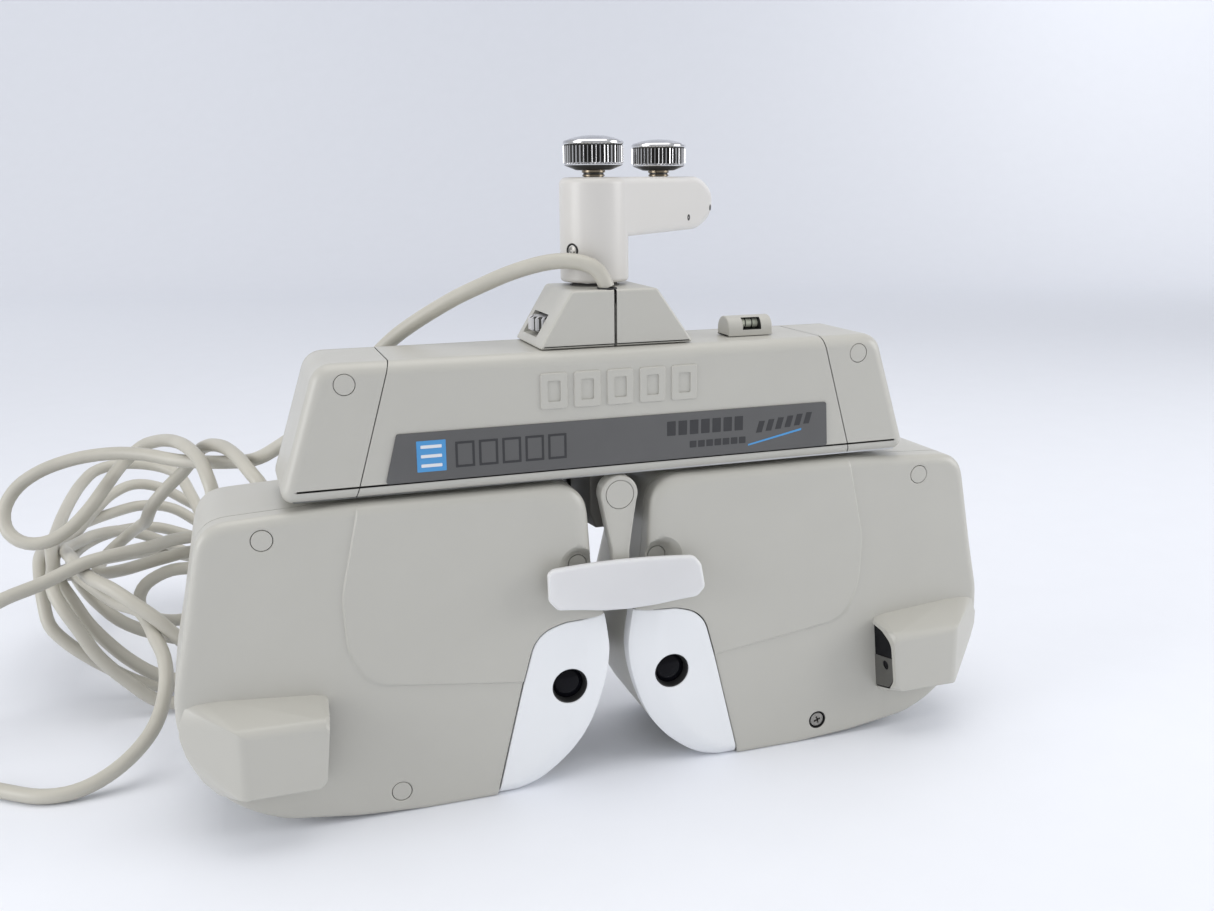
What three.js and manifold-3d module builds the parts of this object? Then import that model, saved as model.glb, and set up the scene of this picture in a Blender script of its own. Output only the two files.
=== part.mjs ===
// Motorised refractor head (phoropter) with its joint arm, forehead rest and cable.
// Millimetres, +Z up. The patient faces the -Y side; +X is to the right as the patient side is looked at.
// The object stands on the undersides of its two measuring heads, and the origin is the middle of the base.

import * as THREE from "three";
import { mergeVertices } from "three/addons/utils/BufferGeometryUtils.js";
import { ConvexGeometry } from "three/addons/geometries/ConvexGeometry.js";
import Module from "manifold-3d";

const wasm = await Module();
wasm.setup();

// ---- driving dimensions ------------------------------------------------------------------------------------

const GAP = 0.3;              // between pieces that touch
const RUNNING = 0.06;         // radial clearance of shafts in bores
const WALL = 2.5;             // moulded cover thickness
const MIN_R = 0.4;            // tightest corner left inside a moulded cover
const BACK_Y = 76;            // depth of a measuring head behind its front face
const FRONT_Y = -18.1;        // front of the corneal sight boxes

const EYE = { x: 26, z: 50.8, apertureR: 8.7 };       // half the pupil distance, height of the sight line
const COVER_SPLIT_Y = 12;                             // where the front cover meets the back cover
const PIVOT = { x: 32, y: 24, postR: 6 };             // convergence pivot of a measuring head
const DISC = { x: 82, z: 74.8, r: 69, holes: 8, holeR: 6.5, thickness: 3, axleR: 4 };
const CHASSIS = { y: 40, thickness: 3 };

const HOUSING = { bottom: 151.3, top: 210.3, halfBottom: 152.5, halfTop: 133.7, front: 0.8, back: 52 };
const SEAM = { halfBottom: 119.8, halfTop: 103 };     // slanted joints between centre cover and end covers
const ROD = { y: 38, z: 168, r: 5 };                  // bar that the head carriages slide on
const SCREW = { y: 38, z: 184, r: 3.5 };              // lead screw that spreads the carriages
const CARRIAGE = { inner: 18, outer: 46, front: 14, back: 45, bottom: 154.8, top: 192 };

const TOWER = { bottom: 211, top: 236.2, left: -35.8, right: 38.2, halfTop: 20.3, front: 6.3, back: 50 };
const COLUMN = { y: 36.5, r: 16, bottom: 237.8, armBottom: 258.1, top: 285.3 };
const ARM = { length: 110, halfWidth: 15, tip: 16.2, taper: 20, angle: Math.PI / 4, knobAt: 74.2, socketR: 8 };
const ARM_BACK_Y = COLUMN.y + ARM.length * Math.cos(ARM.angle) + ARM.halfWidth;
const CENTRE_Y = (FRONT_Y + ARM_BACK_Y) / 2;
const POST = { r: 7, top: 268, pivotZ: 221, pinR: 3, collarR: 10.8, collarTop: 236.9 };
const GLAND = { x: -2.3, y: 12.8, r: 5.8 };
const KNOB = { r: 13.9, stemR: 4.6, bottom: 288.2, rim: 301, top: 304 };
const WHEEL = { x: -22.3, y: 32, z: 219.6, r: 11.5, thickness: 5.6, clearance: 1.2 };

const REST = { y: 2, z: 142, topR: 9, rodR: 4 };      // forehead rest arm and the rod that it slides on

const CABLE = { r: 3.6, sides: 8, sectionsPerDiameter: 0.4 };
const COIL = { x: -188, y: 252, turns: 8, radius: 80, swing: 17, height: 100 };

// ---- outlines, as [across, up, corner radius], counter-clockwise ---------------------------------------------

const HEAD_OUTLINE = [
  [62.3, 0, 0],
  [84, 0, 0],
  [127, 2.2, 0],
  [159, 7, 0],
  [171, 12.4, 0],
  [181.5, 19, 0],
  [190.8, 29.4, 0],
  [197.5, 43.5, 0],
  [200.4, 58, 0],
  [200.6, 72, 0],
  [195.2, 97, 0],
  [185.5, 146, 13],
  [120, 149.2, 0],
  [16.5, 148.9, 14],
  [14.8, 110, 0],
  [6.5, 80, 0],
  [4.5, 66, 0],
  [8.7, 44, 0],
  [18.5, 23, 0],
  [33.5, 8, 0],
  [45, 1.8, 0],
];
const SHIELD_SEAM = [
  [62.3, 0],
  [48.2, 57],
  [44, 69],
  [39, 76.5],
  [28, 82.8],
  [6.9, 84],
];
const HOUSING_OUTLINE = [
  [-HOUSING.halfBottom, HOUSING.bottom, 5],
  [HOUSING.halfBottom, HOUSING.bottom, 5],
  [HOUSING.halfTop, HOUSING.top, 9],
  [-HOUSING.halfTop, HOUSING.top, 9],
];
const TOWER_OUTLINE = [
  [TOWER.left, TOWER.bottom, 1.5],
  [TOWER.right, TOWER.bottom, 1.5],
  [TOWER.halfTop, TOWER.top, 2.5],
  [-TOWER.halfTop, TOWER.top, 2.5],
];

// Route of the free cable. The lead runs from the gland over the housing to the coil, the loop leaves the coil to
// the left, lies on the table in front of it and climbs back on, and the tail ends in the connector.
const LEAD_ROUTE = [
  [GLAND.x, GLAND.y, 236.8],
  [-2.3, 12.8, 238.8],
  [-3.9, 13, 241.4],
  [-6.6, 14.4, 245],
  [-11.3, 16.8, 247.5],
  [-15.9, 19, 248.4],
  [-21.1, 22, 248.5],
  [-26.5, 25.5, 247.7],
  [-34, 30, 245.6],
  [-43.4, 36, 241.9],
  [-52.8, 41, 237.4],
  [-63.4, 47, 231.9],
  [-73.4, 53, 225.6],
  [-83.2, 60, 218.5],
  [-92.2, 67, 210.8],
  [-107, 79, 194],
  [-126, 95, 171],
  [-147, 111, 154],
  [-158, 125, 146],
  [-170, 140, 142],
  [-183, 152, 140],
  [-198, 165, 139],
  [-215, 178, 140.5],
  [-232, 188, 140],
  [-253, 195, 136.5],
  [-271, 198, 130],
  [-283, 198, 121.5],
  [-289, 194, 111.5],
  [-288, 188, 101.5],
  [-280, 182, 95.5],
  [-268, 178, 95.5],
  [-256, 178, 101.5],
  [-246, 184, 110],
  [-236, 196, 121],
  [-228, 208, 129],
  [-218, 211, 137],
  [-209, 200, 142],
  [-200, 182, 145.5],
  [-192, 162, 146],
  [-185, 142, 142],
  [-182, 130, 136],
  [-180, 124, 128],
  [-181, 124, 117],
];
const LOOP_ROUTE = [
  [-239, 153, 88],
  [-249, 149, 87],
  [-268, 144, 81],
  [-287, 141, 76],
  [-307, 142, 64],
  [-328, 144, 48],
  [-346, 141, 31],
  [-361, 132, 16],
  [-368, 118, 6],
  [-364, 104, 4],
  [-352, 97, 3.9],
  [-337, 96, 3.9],
  [-320, 95, 3.9],
  [-303, 90, 3.9],
  [-287, 79, 3.9],
  [-267, 66, 3.9],
  [-253, 64, 4.6],
  [-240, 66, 8],
  [-226, 70, 16],
  [-215, 79, 26],
  [-209, 92, 40],
  [-209, 104, 51],
  [-213, 116, 58.5],
  [-217, 128, 64],
  [-222, 138, 66],
  [-232, 146, 67],
  [-243, 152, 69],
];
const TAIL_ROUTE = [
  [-92, 205, 4],
  [-92, 190, 4],
  [-87, 174, 4],
  [-76, 160, 4.5],
  [-62, 153, 6.6],
  [-50, 151.5, 8.7],
];
const CONNECTOR = { y: 151.5, z: 9.5, r: 9.3, from: -48, to: -6 };

// ---- materials -----------------------------------------------------------------------------------------------

const material = (color, roughness, metalness = 0) =>
  new THREE.MeshStandardMaterial({ color, roughness, metalness });
const greyPlastic = () => material(0xb6b5af, 0.55);
const creamPaint = () => material(0xd6d4cf, 0.3);
const whitePlastic = () => material(0xe6e9ed, 0.4);
const padPlastic = () => material(0xdcdcde, 0.35);
const darkLabel = () => material(0x58595b, 0.5);
const glass = () => material(0x14181c, 0.08);
const darkPlastic = () => material(0x2c2c2c, 0.5);
const chrome = () => material(0xc8ccd0, 0.15, 1);
const steel = () => material(0x9a9a98, 0.35, 1);
const aluminium = () => material(0xa8abad, 0.4, 1);
const cablePlastic = () => material(0xbdb8aa, 0.5);

// ---- solids --------------------------------------------------------------------------------------------------

function toManifold(geometry) {
  const bare = geometry.clone();
  bare.deleteAttribute("normal");
  bare.deleteAttribute("uv");
  const merged = mergeVertices(bare, 1e-4);
  const vertProperties = new Float32Array(merged.attributes.position.array);
  const triVerts = new Uint32Array(merged.index.array);
  return new wasm.Manifold(new wasm.Mesh({ numProp: 3, vertProperties, triVerts }));
}

function toGeometry(manifold) {
  const mesh = manifold.getMesh();
  const geometry = new THREE.BufferGeometry();
  geometry.setAttribute("position", new THREE.BufferAttribute(mesh.vertProperties, 3));
  geometry.setIndex(new THREE.BufferAttribute(mesh.triVerts, 1));
  return geometry;
}

const join = (...geometries) => toGeometry(geometries.map(toManifold).reduce((a, b) => a.add(b)));
const cut = (body, ...tools) => toGeometry(tools.map(toManifold).reduce((a, b) => a.subtract(b), toManifold(body)));
const common = (a, b) => toGeometry(toManifold(a).intersect(toManifold(b)));

function mirrored(geometry) {
  const copy = geometry.index ? geometry.clone() : mergeVertices(geometry);
  copy.scale(-1, 1, 1);
  const corners = copy.index.array;
  for (let i = 0; i < corners.length; i += 3) {
    [corners[i], corners[i + 1]] = [corners[i + 1], corners[i]];
  }
  return copy;
}

// An outline moved inwards by a distance, corner by corner.
function inset(outline, distance) {
  const count = outline.length;
  return outline.map(([x, y, r], i) => {
    const before = outline[(i + count - 1) % count];
    const after = outline[(i + 1) % count];
    const a = new THREE.Vector2(x - before[0], y - before[1]).normalize();
    const b = new THREE.Vector2(after[0] - x, after[1] - y).normalize();
    const slide = distance / (1 + a.dot(b));
    return [x + slide * (-a.y - b.y), y + slide * (a.x + b.x), r > 0 ? Math.max(MIN_R, r - distance) : 0];
  });
}

function shapeOf(outline) {
  const shape = new THREE.Shape();
  const count = outline.length;
  outline.forEach(([x, y, r = 0], i) => {
    const [bx, by] = outline[(i + count - 1) % count];
    const [ax, ay] = outline[(i + 1) % count];
    const toBefore = new THREE.Vector2(bx - x, by - y).normalize();
    const toAfter = new THREE.Vector2(ax - x, ay - y).normalize();
    const start = [x + r * toBefore.x, y + r * toBefore.y];
    if (i === 0) shape.moveTo(...start);
    else shape.lineTo(...start);
    if (r > 0) shape.quadraticCurveTo(x, y, x + r * toAfter.x, y + r * toAfter.y);
  });
  shape.closePath();
  return shape;
}

function extrude(outline, depth) {
  const shape = outline instanceof THREE.Shape ? outline : shapeOf(outline);
  return new THREE.ExtrudeGeometry(shape, { depth, curveSegments: 4, bevelEnabled: false });
}

// A front-view outline (across, up) given depth from y0 to y1.
function frontPlate(outline, y0, y1) {
  return extrude(outline, y1 - y0).rotateX(Math.PI / 2).translate(0, y1, 0);
}

// A solid through outlines with equal numbers of points, each [depth, outline], from front to back.
function loft(sections) {
  const rings = sections.map(([y, outline]) => shapeOf(outline).getPoints(4).slice(0, -1).map((p) => [p.x, y, p.y]));
  const count = rings[0].length;
  const cap = THREE.ShapeUtils.triangulateShape(rings[0].map(([x, , z]) => new THREE.Vector2(x, z)), []);
  const back = (rings.length - 1) * count;
  const corners = cap.flatMap(([a, b, c]) => [a, b, c, back + c, back + b, back + a]);
  for (let ring = 0; ring < rings.length - 1; ring++) {
    for (let i = 0; i < count; i++) {
      const a = ring * count + i;
      const b = ring * count + ((i + 1) % count);
      corners.push(a, a + count, b + count, a, b + count, b);
    }
  }
  const geometry = new THREE.BufferGeometry();
  geometry.setAttribute("position", new THREE.Float32BufferAttribute(rings.flat(2), 3));
  geometry.setIndex(corners);
  return geometry;
}

// An outline given depth from y0 to y1, its front and rear edges rounded.
function rounded(outline, y0, y1, frontEdge, backEdge = 0) {
  const steps = [0, 0.35, 0.7, 1].map((t) => (t * Math.PI) / 2);
  const atEdge = (edge, angle) => inset(outline, edge * (1 - Math.cos(angle)));
  const front = steps.map((angle) => [y0 + frontEdge * (1 - Math.sin(angle)), atEdge(frontEdge, angle)]);
  const back = steps.map((angle) => [y1 - backEdge * (1 - Math.sin(angle)), atEdge(backEdge, angle)]);
  return loft([
    ...(frontEdge > 0 ? front.reverse() : [[y0, outline]]),
    ...(backEdge > 0 ? back : [[y1, outline]]),
  ]);
}

function box(x0, x1, y0, y1, z0, z1) {
  return new THREE.BoxGeometry(x1 - x0, y1 - y0, z1 - z0).translate((x0 + x1) / 2, (y0 + y1) / 2, (z0 + z1) / 2);
}

function cylinderX(r, x0, x1, y, z, sides = 16) {
  return new THREE.CylinderGeometry(r, r, x1 - x0, sides).rotateZ(Math.PI / 2).translate((x0 + x1) / 2, y, z);
}

function cylinderY(r, y0, y1, x, z, sides = 16) {
  return new THREE.CylinderGeometry(r, r, y1 - y0, sides).translate(x, (y0 + y1) / 2, z);
}

function cylinderZ(r, z0, z1, x, y, sides = 16) {
  return new THREE.CylinderGeometry(r, r, z1 - z0, sides).rotateX(Math.PI / 2).translate(x, y, (z0 + z1) / 2);
}

function hull(points) {
  return new ConvexGeometry(points.map((p) => new THREE.Vector3(...p)));
}

// A bore that a shaft of radius r turns in, wide enough at the flats between its corners.
const boreRadius = (r, sides = 16) => (r + RUNNING) / Math.cos(Math.PI / sides);

// ---- measuring heads (built on the right, mirrored for the left) ----------------------------------------------

const shieldRegion = (gap) => [
  [-12, -6],
  [62.3 + gap + 1.5, -6],
  ...SHIELD_SEAM.map(([x, z]) => [x + gap, z + gap]),
  [-12, 84 + gap],
];

function headFront() {
  const outer = rounded(HEAD_OUTLINE, 0, COVER_SPLIT_Y, 4.5);
  const inner = rounded(inset(HEAD_OUTLINE, WALL), WALL, COVER_SPLIT_Y + 5, 2);
  return cut(outer, inner);
}

function frontCover() {
  const shieldHole = frontPlate(shieldRegion(GAP), -5, COVER_SPLIT_Y + 5);
  const window = frontPlate([[141, 26, 0], [172, 26, 0], [172, 58, 0], [141, 58, 0]], -5, COVER_SPLIT_Y - 5);
  return cut(headFront(), shieldHole, window);
}

function faceShield() {
  const region = frontPlate(shieldRegion(0), -5, COVER_SPLIT_Y + 5);
  const aperture = cylinderY(EYE.apertureR, -5, 20, EYE.x, EYE.z, 24);
  return cut(common(headFront(), region), aperture);
}

function backCover() {
  const outer = rounded(HEAD_OUTLINE, 0, BACK_Y, 0, 12);
  const shell = cut(outer, rounded(inset(HEAD_OUTLINE, WALL), -5, BACK_Y - WALL, 0, 9));
  const rearWindow = cylinderY(15, BACK_Y - 8, BACK_Y + 5, EYE.x + 14, EYE.z, 20);
  const postHole = cylinderZ(PIVOT.postR + 3, 130, 160, PIVOT.x, PIVOT.y, 16);
  return cut(common(shell, box(-20, 210, COVER_SPLIT_Y + GAP, BACK_Y + 1, -1, 160)), rearWindow, postHole);
}

function chassisPlate() {
  const plate = frontPlate(inset(HEAD_OUTLINE, WALL + 2), CHASSIS.y, CHASSIS.y + CHASSIS.thickness);
  const sight = cylinderY(10, CHASSIS.y - 2, CHASSIS.y + 8, EYE.x, EYE.z, 16);
  const bracket = box(PIVOT.x - 8, PIVOT.x + 8, PIVOT.y - 6, CHASSIS.y + 1, 130, 142);
  const post = cylinderZ(PIVOT.postR, 136, CARRIAGE.bottom + 12, PIVOT.x, PIVOT.y);
  const axleHole = cylinderY(DISC.axleR + GAP, CHASSIS.y - 2, CHASSIS.y + 8, DISC.x, DISC.z);
  return cut(join(plate, bracket, post), sight, axleHole);
}

function circle(r, x, z, sides) {
  return Array.from({ length: sides }, (_, i) => {
    const angle = (i * 2 * Math.PI) / sides;
    return new THREE.Vector2(x + r * Math.cos(angle), z + r * Math.sin(angle));
  });
}

function lensDisc(y) {
  const shape = new THREE.Shape(circle(DISC.r, 0, 0, 48));
  shape.holes.push(new THREE.Path(circle(boreRadius(DISC.axleR), 0, 0, 16)));
  const reach = Math.hypot(EYE.x - DISC.x, EYE.z - DISC.z);
  const first = Math.atan2(EYE.z - DISC.z, EYE.x - DISC.x);
  for (let i = 0; i < DISC.holes; i++) {
    const angle = first + (i * 2 * Math.PI) / DISC.holes;
    const at = [reach * Math.cos(angle), reach * Math.sin(angle)];
    shape.holes.push(new THREE.Path(circle(DISC.holeR, ...at, 12)));
  }
  return extrude(shape, DISC.thickness).rotateX(Math.PI / 2).translate(DISC.x, y + DISC.thickness, DISC.z);
}

function discAxle() {
  const shaft = cylinderY(DISC.axleR, 15, CHASSIS.y + 12, DISC.x, DISC.z);
  const collar = cylinderY(9, CHASSIS.y + CHASSIS.thickness + GAP, CHASSIS.y + 9, DISC.x, DISC.z);
  return join(shaft, collar);
}

// The corneal sight box: a hood on the outer part of the front cover, open towards the nose.
function sightBox() {
  const outside = hull([
    [136.8, -GAP, 66],
    [194, -GAP, 67.2],
    [196.9, -GAP, 66.4],
    [199, -GAP, 57],
    [197.2, -GAP, 45],
    [191, -GAP, 31.5],
    [184, -GAP, 23.5],
    [139.8, -GAP, 21.4],
    [139.2, FRONT_Y + 4, 61.2],
    [139.5, FRONT_Y, 58],
    [140.5, FRONT_Y, 31],
    [141, FRONT_Y + 4, 24.6],
    [175.8, FRONT_Y, 59.6],
    [177.2, FRONT_Y, 29.5],
    [178.5, FRONT_Y + 3, 61.4],
    [179.5, FRONT_Y + 3, 27.4],
  ]);
  const hollow = hull([
    [130, 3, 58.5],
    [172, 3, 58.5],
    [172, 3, 29.5],
    [130, 3, 29.5],
    [130, -10, 56.5],
    [170, -10, 56.5],
    [170, -10, 33.5],
    [130, -10, 33.5],
    [130, FRONT_Y + 3.4, 52],
    [170, FRONT_Y + 3.4, 52],
    [170, FRONT_Y + 3.4, 37],
    [130, FRONT_Y + 3.4, 37],
  ]);
  return cut(outside, hollow);
}

function sightWindow() {
  return hull([
    [143, -1, 57.5],
    [145, -1, 57.5],
    [143, -1, 31],
    [145, -1, 31],
    [143, -10, 55.5],
    [145, -10, 55.5],
    [143, -10, 34.5],
    [145, -10, 34.5],
    [143, FRONT_Y + 4.4, 51],
    [145, FRONT_Y + 4.4, 51],
    [143, FRONT_Y + 4.4, 38],
    [145, FRONT_Y + 4.4, 38],
  ]);
}

const plug = (r, depth) => new THREE.CylinderGeometry(r, r, depth, 20);

const headPieces = {
  front_cover: [frontCover, greyPlastic],
  back_cover: [backCover, greyPlastic],
  face_shield: [faceShield, whitePlastic],
  chassis_plate: [chassisPlate, aluminium],
  eyepiece_glass: [() => cylinderY(EYE.apertureR - GAP, 5, 7, EYE.x, EYE.z, 24), glass],
  rear_window: [() => cylinderY(15 - GAP, BACK_Y - WALL, BACK_Y - 0.4, EYE.x + 14, EYE.z, 20), glass],
  sight_box: [sightBox, greyPlastic],
  sight_window: [sightWindow, glass],
  sphere_lens_disc: [() => lensDisc(22), darkPlastic],
  cylinder_lens_disc: [() => lensDisc(30), darkPlastic],
  disc_axle: [discAxle, steel],
};

const assembly = new THREE.Group();
assembly.position.y = -CENTRE_Y;

function add(name, geometry, finish, parent = assembly, position = [0, 0, 0], rotation = [0, 0, 0]) {
  const mesh = new THREE.Mesh(geometry, finish());
  mesh.name = name;
  mesh.position.set(...position);
  mesh.rotation.set(...rotation);
  parent.add(mesh);
  return mesh;
}

for (const [side, turn] of [["left", -1], ["right", 1]]) {
  const head = new THREE.Group();
  assembly.add(head);
  for (const [piece, [build, finish]] of Object.entries(headPieces)) {
    const right = build();
    add(`${side}_${piece}`, turn > 0 ? right : mirrored(right), finish, head);
  }
}

// ---- pupil distance drive --------------------------------------------------------------------------------------

function carriage() {
  const body = box(CARRIAGE.inner, CARRIAGE.outer, CARRIAGE.front, CARRIAGE.back, CARRIAGE.bottom, CARRIAGE.top);
  const pivotBore = cylinderZ(boreRadius(PIVOT.postR), CARRIAGE.bottom - 5, CARRIAGE.bottom + 14, PIVOT.x, PIVOT.y);
  const rodBore = cylinderX(boreRadius(ROD.r), 0, 70, ROD.y, ROD.z);
  const nut = cylinderX(boreRadius(SCREW.r), 0, 70, SCREW.y, SCREW.z);
  return cut(body, pivotBore, rodBore, nut);
}

const rightCarriage = carriage();
add("right_carriage", rightCarriage, aluminium);
add("left_carriage", mirrored(rightCarriage), aluminium);
add("guide_rod", cylinderX(ROD.r, -112, 112, ROD.y, ROD.z), steel);
add("pd_leadscrew", cylinderX(SCREW.r, -92, 92, SCREW.y, SCREW.z), steel);
add("pd_motor", cylinderX(8.5, 92 + GAP, 124, SCREW.y, SCREW.z, 20), darkPlastic);

// ---- housing ---------------------------------------------------------------------------------------------------

const housingBlock = () => rounded(HOUSING_OUTLINE, HOUSING.front, HOUSING.back, 5, 3);

function housingShell() {
  const cavity = inset(HOUSING_OUTLINE, WALL).map(([x, z, r]) => [x, z < 180 ? z - 2 * WALL : z, r]);
  const inner = rounded(cavity, HOUSING.front + WALL, HOUSING.back + 5, 2.5);
  const backLimit = HOUSING.back - 5;
  return common(cut(housingBlock(), inner), box(-160, 160, 0, backLimit, 140, 220));
}

function seamWedge(gap) {
  const slope = (SEAM.halfBottom - SEAM.halfTop) / (HOUSING.top - HOUSING.bottom);
  const low = SEAM.halfBottom + 12 * slope - gap;
  const high = SEAM.halfTop - 12 * slope - gap;
  const bottom = HOUSING.bottom - 12;
  const top = HOUSING.top + 12;
  return frontPlate([[-low, bottom, 0], [low, bottom, 0], [high, top, 0], [-high, top, 0]], -5, 70);
}

const shell = housingShell();
const cableWay = cylinderZ(3.2, 200, 215, 0, COLUMN.y, 12);
const centre = common(shell, seamWedge(GAP / 2));
add("housing_front_cover", cut(centre, cableWay), greyPlastic);
const ends = cut(shell, seamWedge(-GAP / 2));
add("housing_left_end", common(ends, box(-160, -50, -5, 60, 140, 220)), greyPlastic);
add("housing_right_end", common(ends, box(50, 160, -5, 60, 140, 220)), greyPlastic);

function housingBack() {
  return common(housingBlock(), box(-160, 160, HOUSING.back - 5 + GAP, HOUSING.back + 1, 140, 220));
}
add("housing_back_cover", housingBack(), greyPlastic);

function basePlate() {
  const z0 = HOUSING.bottom + GAP;
  const z1 = z0 + 2.4;
  const halfWidth = HOUSING.halfBottom - WALL - 4;
  const plate = box(-halfWidth, halfWidth, HOUSING.front + WALL + GAP, HOUSING.back - 5, z0, z1);
  const slots = [-1, 1].map((s) => {
    const x0 = PIVOT.x - PIVOT.postR - 3.5;
    const x1 = PIVOT.x + PIVOT.postR + 15.5;
    const [a, b] = s > 0 ? [x0, x1] : [-x1, -x0];
    return box(a, b, PIVOT.y - 8, PIVOT.y + 8, z0 - 1, z1 + 1);
  });
  return cut(plate, ...slots);
}
add("housing_base_plate", basePlate(), aluminium);

const LABEL = [[-106.3, 157.7, 2.5], [106.3, 157.7, 2.5], [99.8, 178.2, 2.5], [-99.8, 178.2, 2.5]];
add("label_plate", frontPlate(LABEL, 0, HOUSING.front - GAP), darkLabel);
for (const [side, turn] of [["left", -1], ["right", 1]]) {
  add(`${side}_head_upper_plug`, plug(4.5, 0.6), greyPlastic, assembly, [turn * 160.1, -GAP - 0.3, 137.5]);
  add(`${side}_housing_plug`, plug(4.4, 0.4), greyPlastic, assembly, [turn * 122.1, 0.3, 201.6]);
  add(`${side}_head_lower_plug`, plug(4.5, 0.6), turn > 0 ? steel : greyPlastic, assembly,
    [turn * 107.3, -GAP - 0.3, 10.9]);
}

// ---- level vial and tower ----------------------------------------------------------------------------------------

const VIAL = { x0: 60.4, x1: 83.6, y: 23, halfWidth: 6.4, z0: HOUSING.top + GAP, z1: 219.9, r: 2.3, z: 216 };

// A half-round block with a window sunk into its top; the glass tube rests in a bore under the window.
function levelVialMount() {
  const { x0, x1, y, halfWidth, z0, z1 } = VIAL;
  const half = [[-halfWidth, z0, 0], [halfWidth, z0, 0], [halfWidth, z1, 6], [-halfWidth, z1, 6]];
  const body = extrude(half, x1 - x0).rotateX(Math.PI / 2).rotateZ(-Math.PI / 2).translate(x1, y, 0);
  const window = box(68, 77.6, y - 5.2, y + 5.2, z0 + 2.4, z1 + 1);
  const bore = cylinderX(VIAL.r + GAP, x0 + 3, x1 - 3, y, VIAL.z);
  return cut(body, window, bore);
}
add("level_vial_mount", levelVialMount(), greyPlastic);
add("level_vial", cylinderX(VIAL.r, VIAL.x0 + 3.4, VIAL.x1 - 3.4, VIAL.y, VIAL.z), glass);

function towerShell() {
  const outer = rounded(TOWER_OUTLINE, TOWER.front, TOWER.back, 1.5, 1.5);
  const cavity = inset(TOWER_OUTLINE, WALL).map(([x, z, r]) => [x, z < 220 ? z - 2 * WALL : z, r]);
  const inner = frontPlate(cavity, TOWER.front + WALL, TOWER.back - WALL);
  const postHole = cylinderZ(POST.collarR + 0.9, 230, 240, 0, COLUMN.y, 24);
  const cableHole = cylinderZ(CABLE.r + 0.5, 230, 240, GLAND.x, GLAND.y, 12);
  const wheelSlot = cylinderZ(WHEEL.r + WHEEL.clearance, WHEEL.z - 4.4, WHEEL.z + 4.4, WHEEL.x, WHEEL.y, 24);
  return cut(outer, inner, postHole, cableHole, wheelSlot);
}

const towerBody = towerShell();
add("tower_left_cover", common(towerBody, box(-40, -0.25, 0, 60, 200, 245)), greyPlastic);
add("tower_right_cover", common(towerBody, box(0.25, 40, 0, 60, 200, 245)), greyPlastic);

function tiltBracket() {
  const z0 = HOUSING.top + GAP;
  const base = box(-9, 9, 12, 46.5, z0, z0 + 2);
  const frontWall = box(-9, 9, 18.5, 22.5, z0 + 1, 226);
  const backWall = box(-9, 9, 44.2, 47.1, z0 + 1, 226);
  const bore = cylinderY(boreRadius(POST.pinR), 10, 50, 0, POST.pivotZ);
  return cut(join(base, frontWall, backWall), bore);
}
add("tilt_bracket", tiltBracket(), aluminium);

function tiltPost() {
  const post = cylinderZ(POST.r, POST.pivotZ - 6, POST.top, 0, COLUMN.y);
  const collar = cylinderZ(POST.collarR, 232, POST.collarTop, 0, COLUMN.y, 24);
  const pin = cylinderY(POST.pinR, 17, 47.1, 0, POST.pivotZ);
  return join(post, collar, pin);
}
add("tilt_post", tiltPost(), steel);

const wheelRidges = 24;
const wheelShape = new THREE.Shape(
  Array.from({ length: 2 * wheelRidges }, (_, i) => {
    const r = i % 2 ? WHEEL.r : WHEEL.r - 0.5;
    const angle = (i * Math.PI) / wheelRidges;
    return new THREE.Vector2(r * Math.cos(angle), r * Math.sin(angle));
  }),
);
const wheelBody = extrude(wheelShape, WHEEL.thickness).translate(WHEEL.x, WHEEL.y, WHEEL.z - WHEEL.thickness / 2);
add("level_thumbwheel", wheelBody, darkPlastic);

// ---- joint arm and clamp knobs -------------------------------------------------------------------------------------

// A point along the arm, at a distance from the column axis.
const along = (distance) => [distance * Math.sin(ARM.angle), COLUMN.y + distance * Math.cos(ARM.angle)];

// The level beam of the arm, from the column's axis out to its bullet-shaped end.
function armBeam() {
  const reach = ARM.length + ARM.tip;
  const height = COLUMN.top - COLUMN.armBottom;
  const sections = [0, 0.3, 0.55, 0.75, 0.88, 0.96, 0.999].map((part) => {
    const fullness = Math.sqrt(1 - part ** 2);
    const half = ARM.halfWidth * fullness;
    const low = COLUMN.armBottom + (height / 2 - 2) * (1 - fullness);
    const high = COLUMN.top - (height / 2 - 1) * (1 - fullness);
    const r = Math.min(3.5 + 8.5 * part, half * 0.85, (high - low) * 0.42);
    return [reach - ARM.taper * (1 - part), [[-half, low, r], [half, low, r], [half, high, r], [-half, high, r]]];
  });
  return loft([[0, sections[0][1]], ...sections]).rotateZ(-ARM.angle).translate(0, COLUMN.y, 0);
}

function jointArm() {
  const column = cylinderZ(COLUMN.r, COLUMN.bottom, COLUMN.top, 0, COLUMN.y, 32);
  const [endX, endY] = along(ARM.length);
  const [knobX, knobY] = along(ARM.knobAt);
  const swivelBore = cylinderZ(boreRadius(POST.r), COLUMN.bottom - 2, POST.top + 1, 0, COLUMN.y);
  const swivelScrew = cylinderZ(boreRadius(KNOB.stemR), POST.top + 2, COLUMN.top + 2, 0, COLUMN.y);
  const mountScrew = cylinderZ(boreRadius(KNOB.stemR), COLUMN.top - 14, COLUMN.top + 2, knobX, knobY);
  const socket = cylinderZ(ARM.socketR, COLUMN.armBottom - 2, COLUMN.armBottom + 18, endX, endY);
  const clampHole = new THREE.CylinderGeometry(2.9, 2.9, 12, 12)
    .translate(0, -COLUMN.r, 0)
    .rotateZ(CLAMP_SCREW.angle)
    .translate(0, COLUMN.y, CLAMP_SCREW.z);
  return cut(join(column, armBeam()), swivelBore, swivelScrew, mountScrew, socket, clampHole);
}

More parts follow.
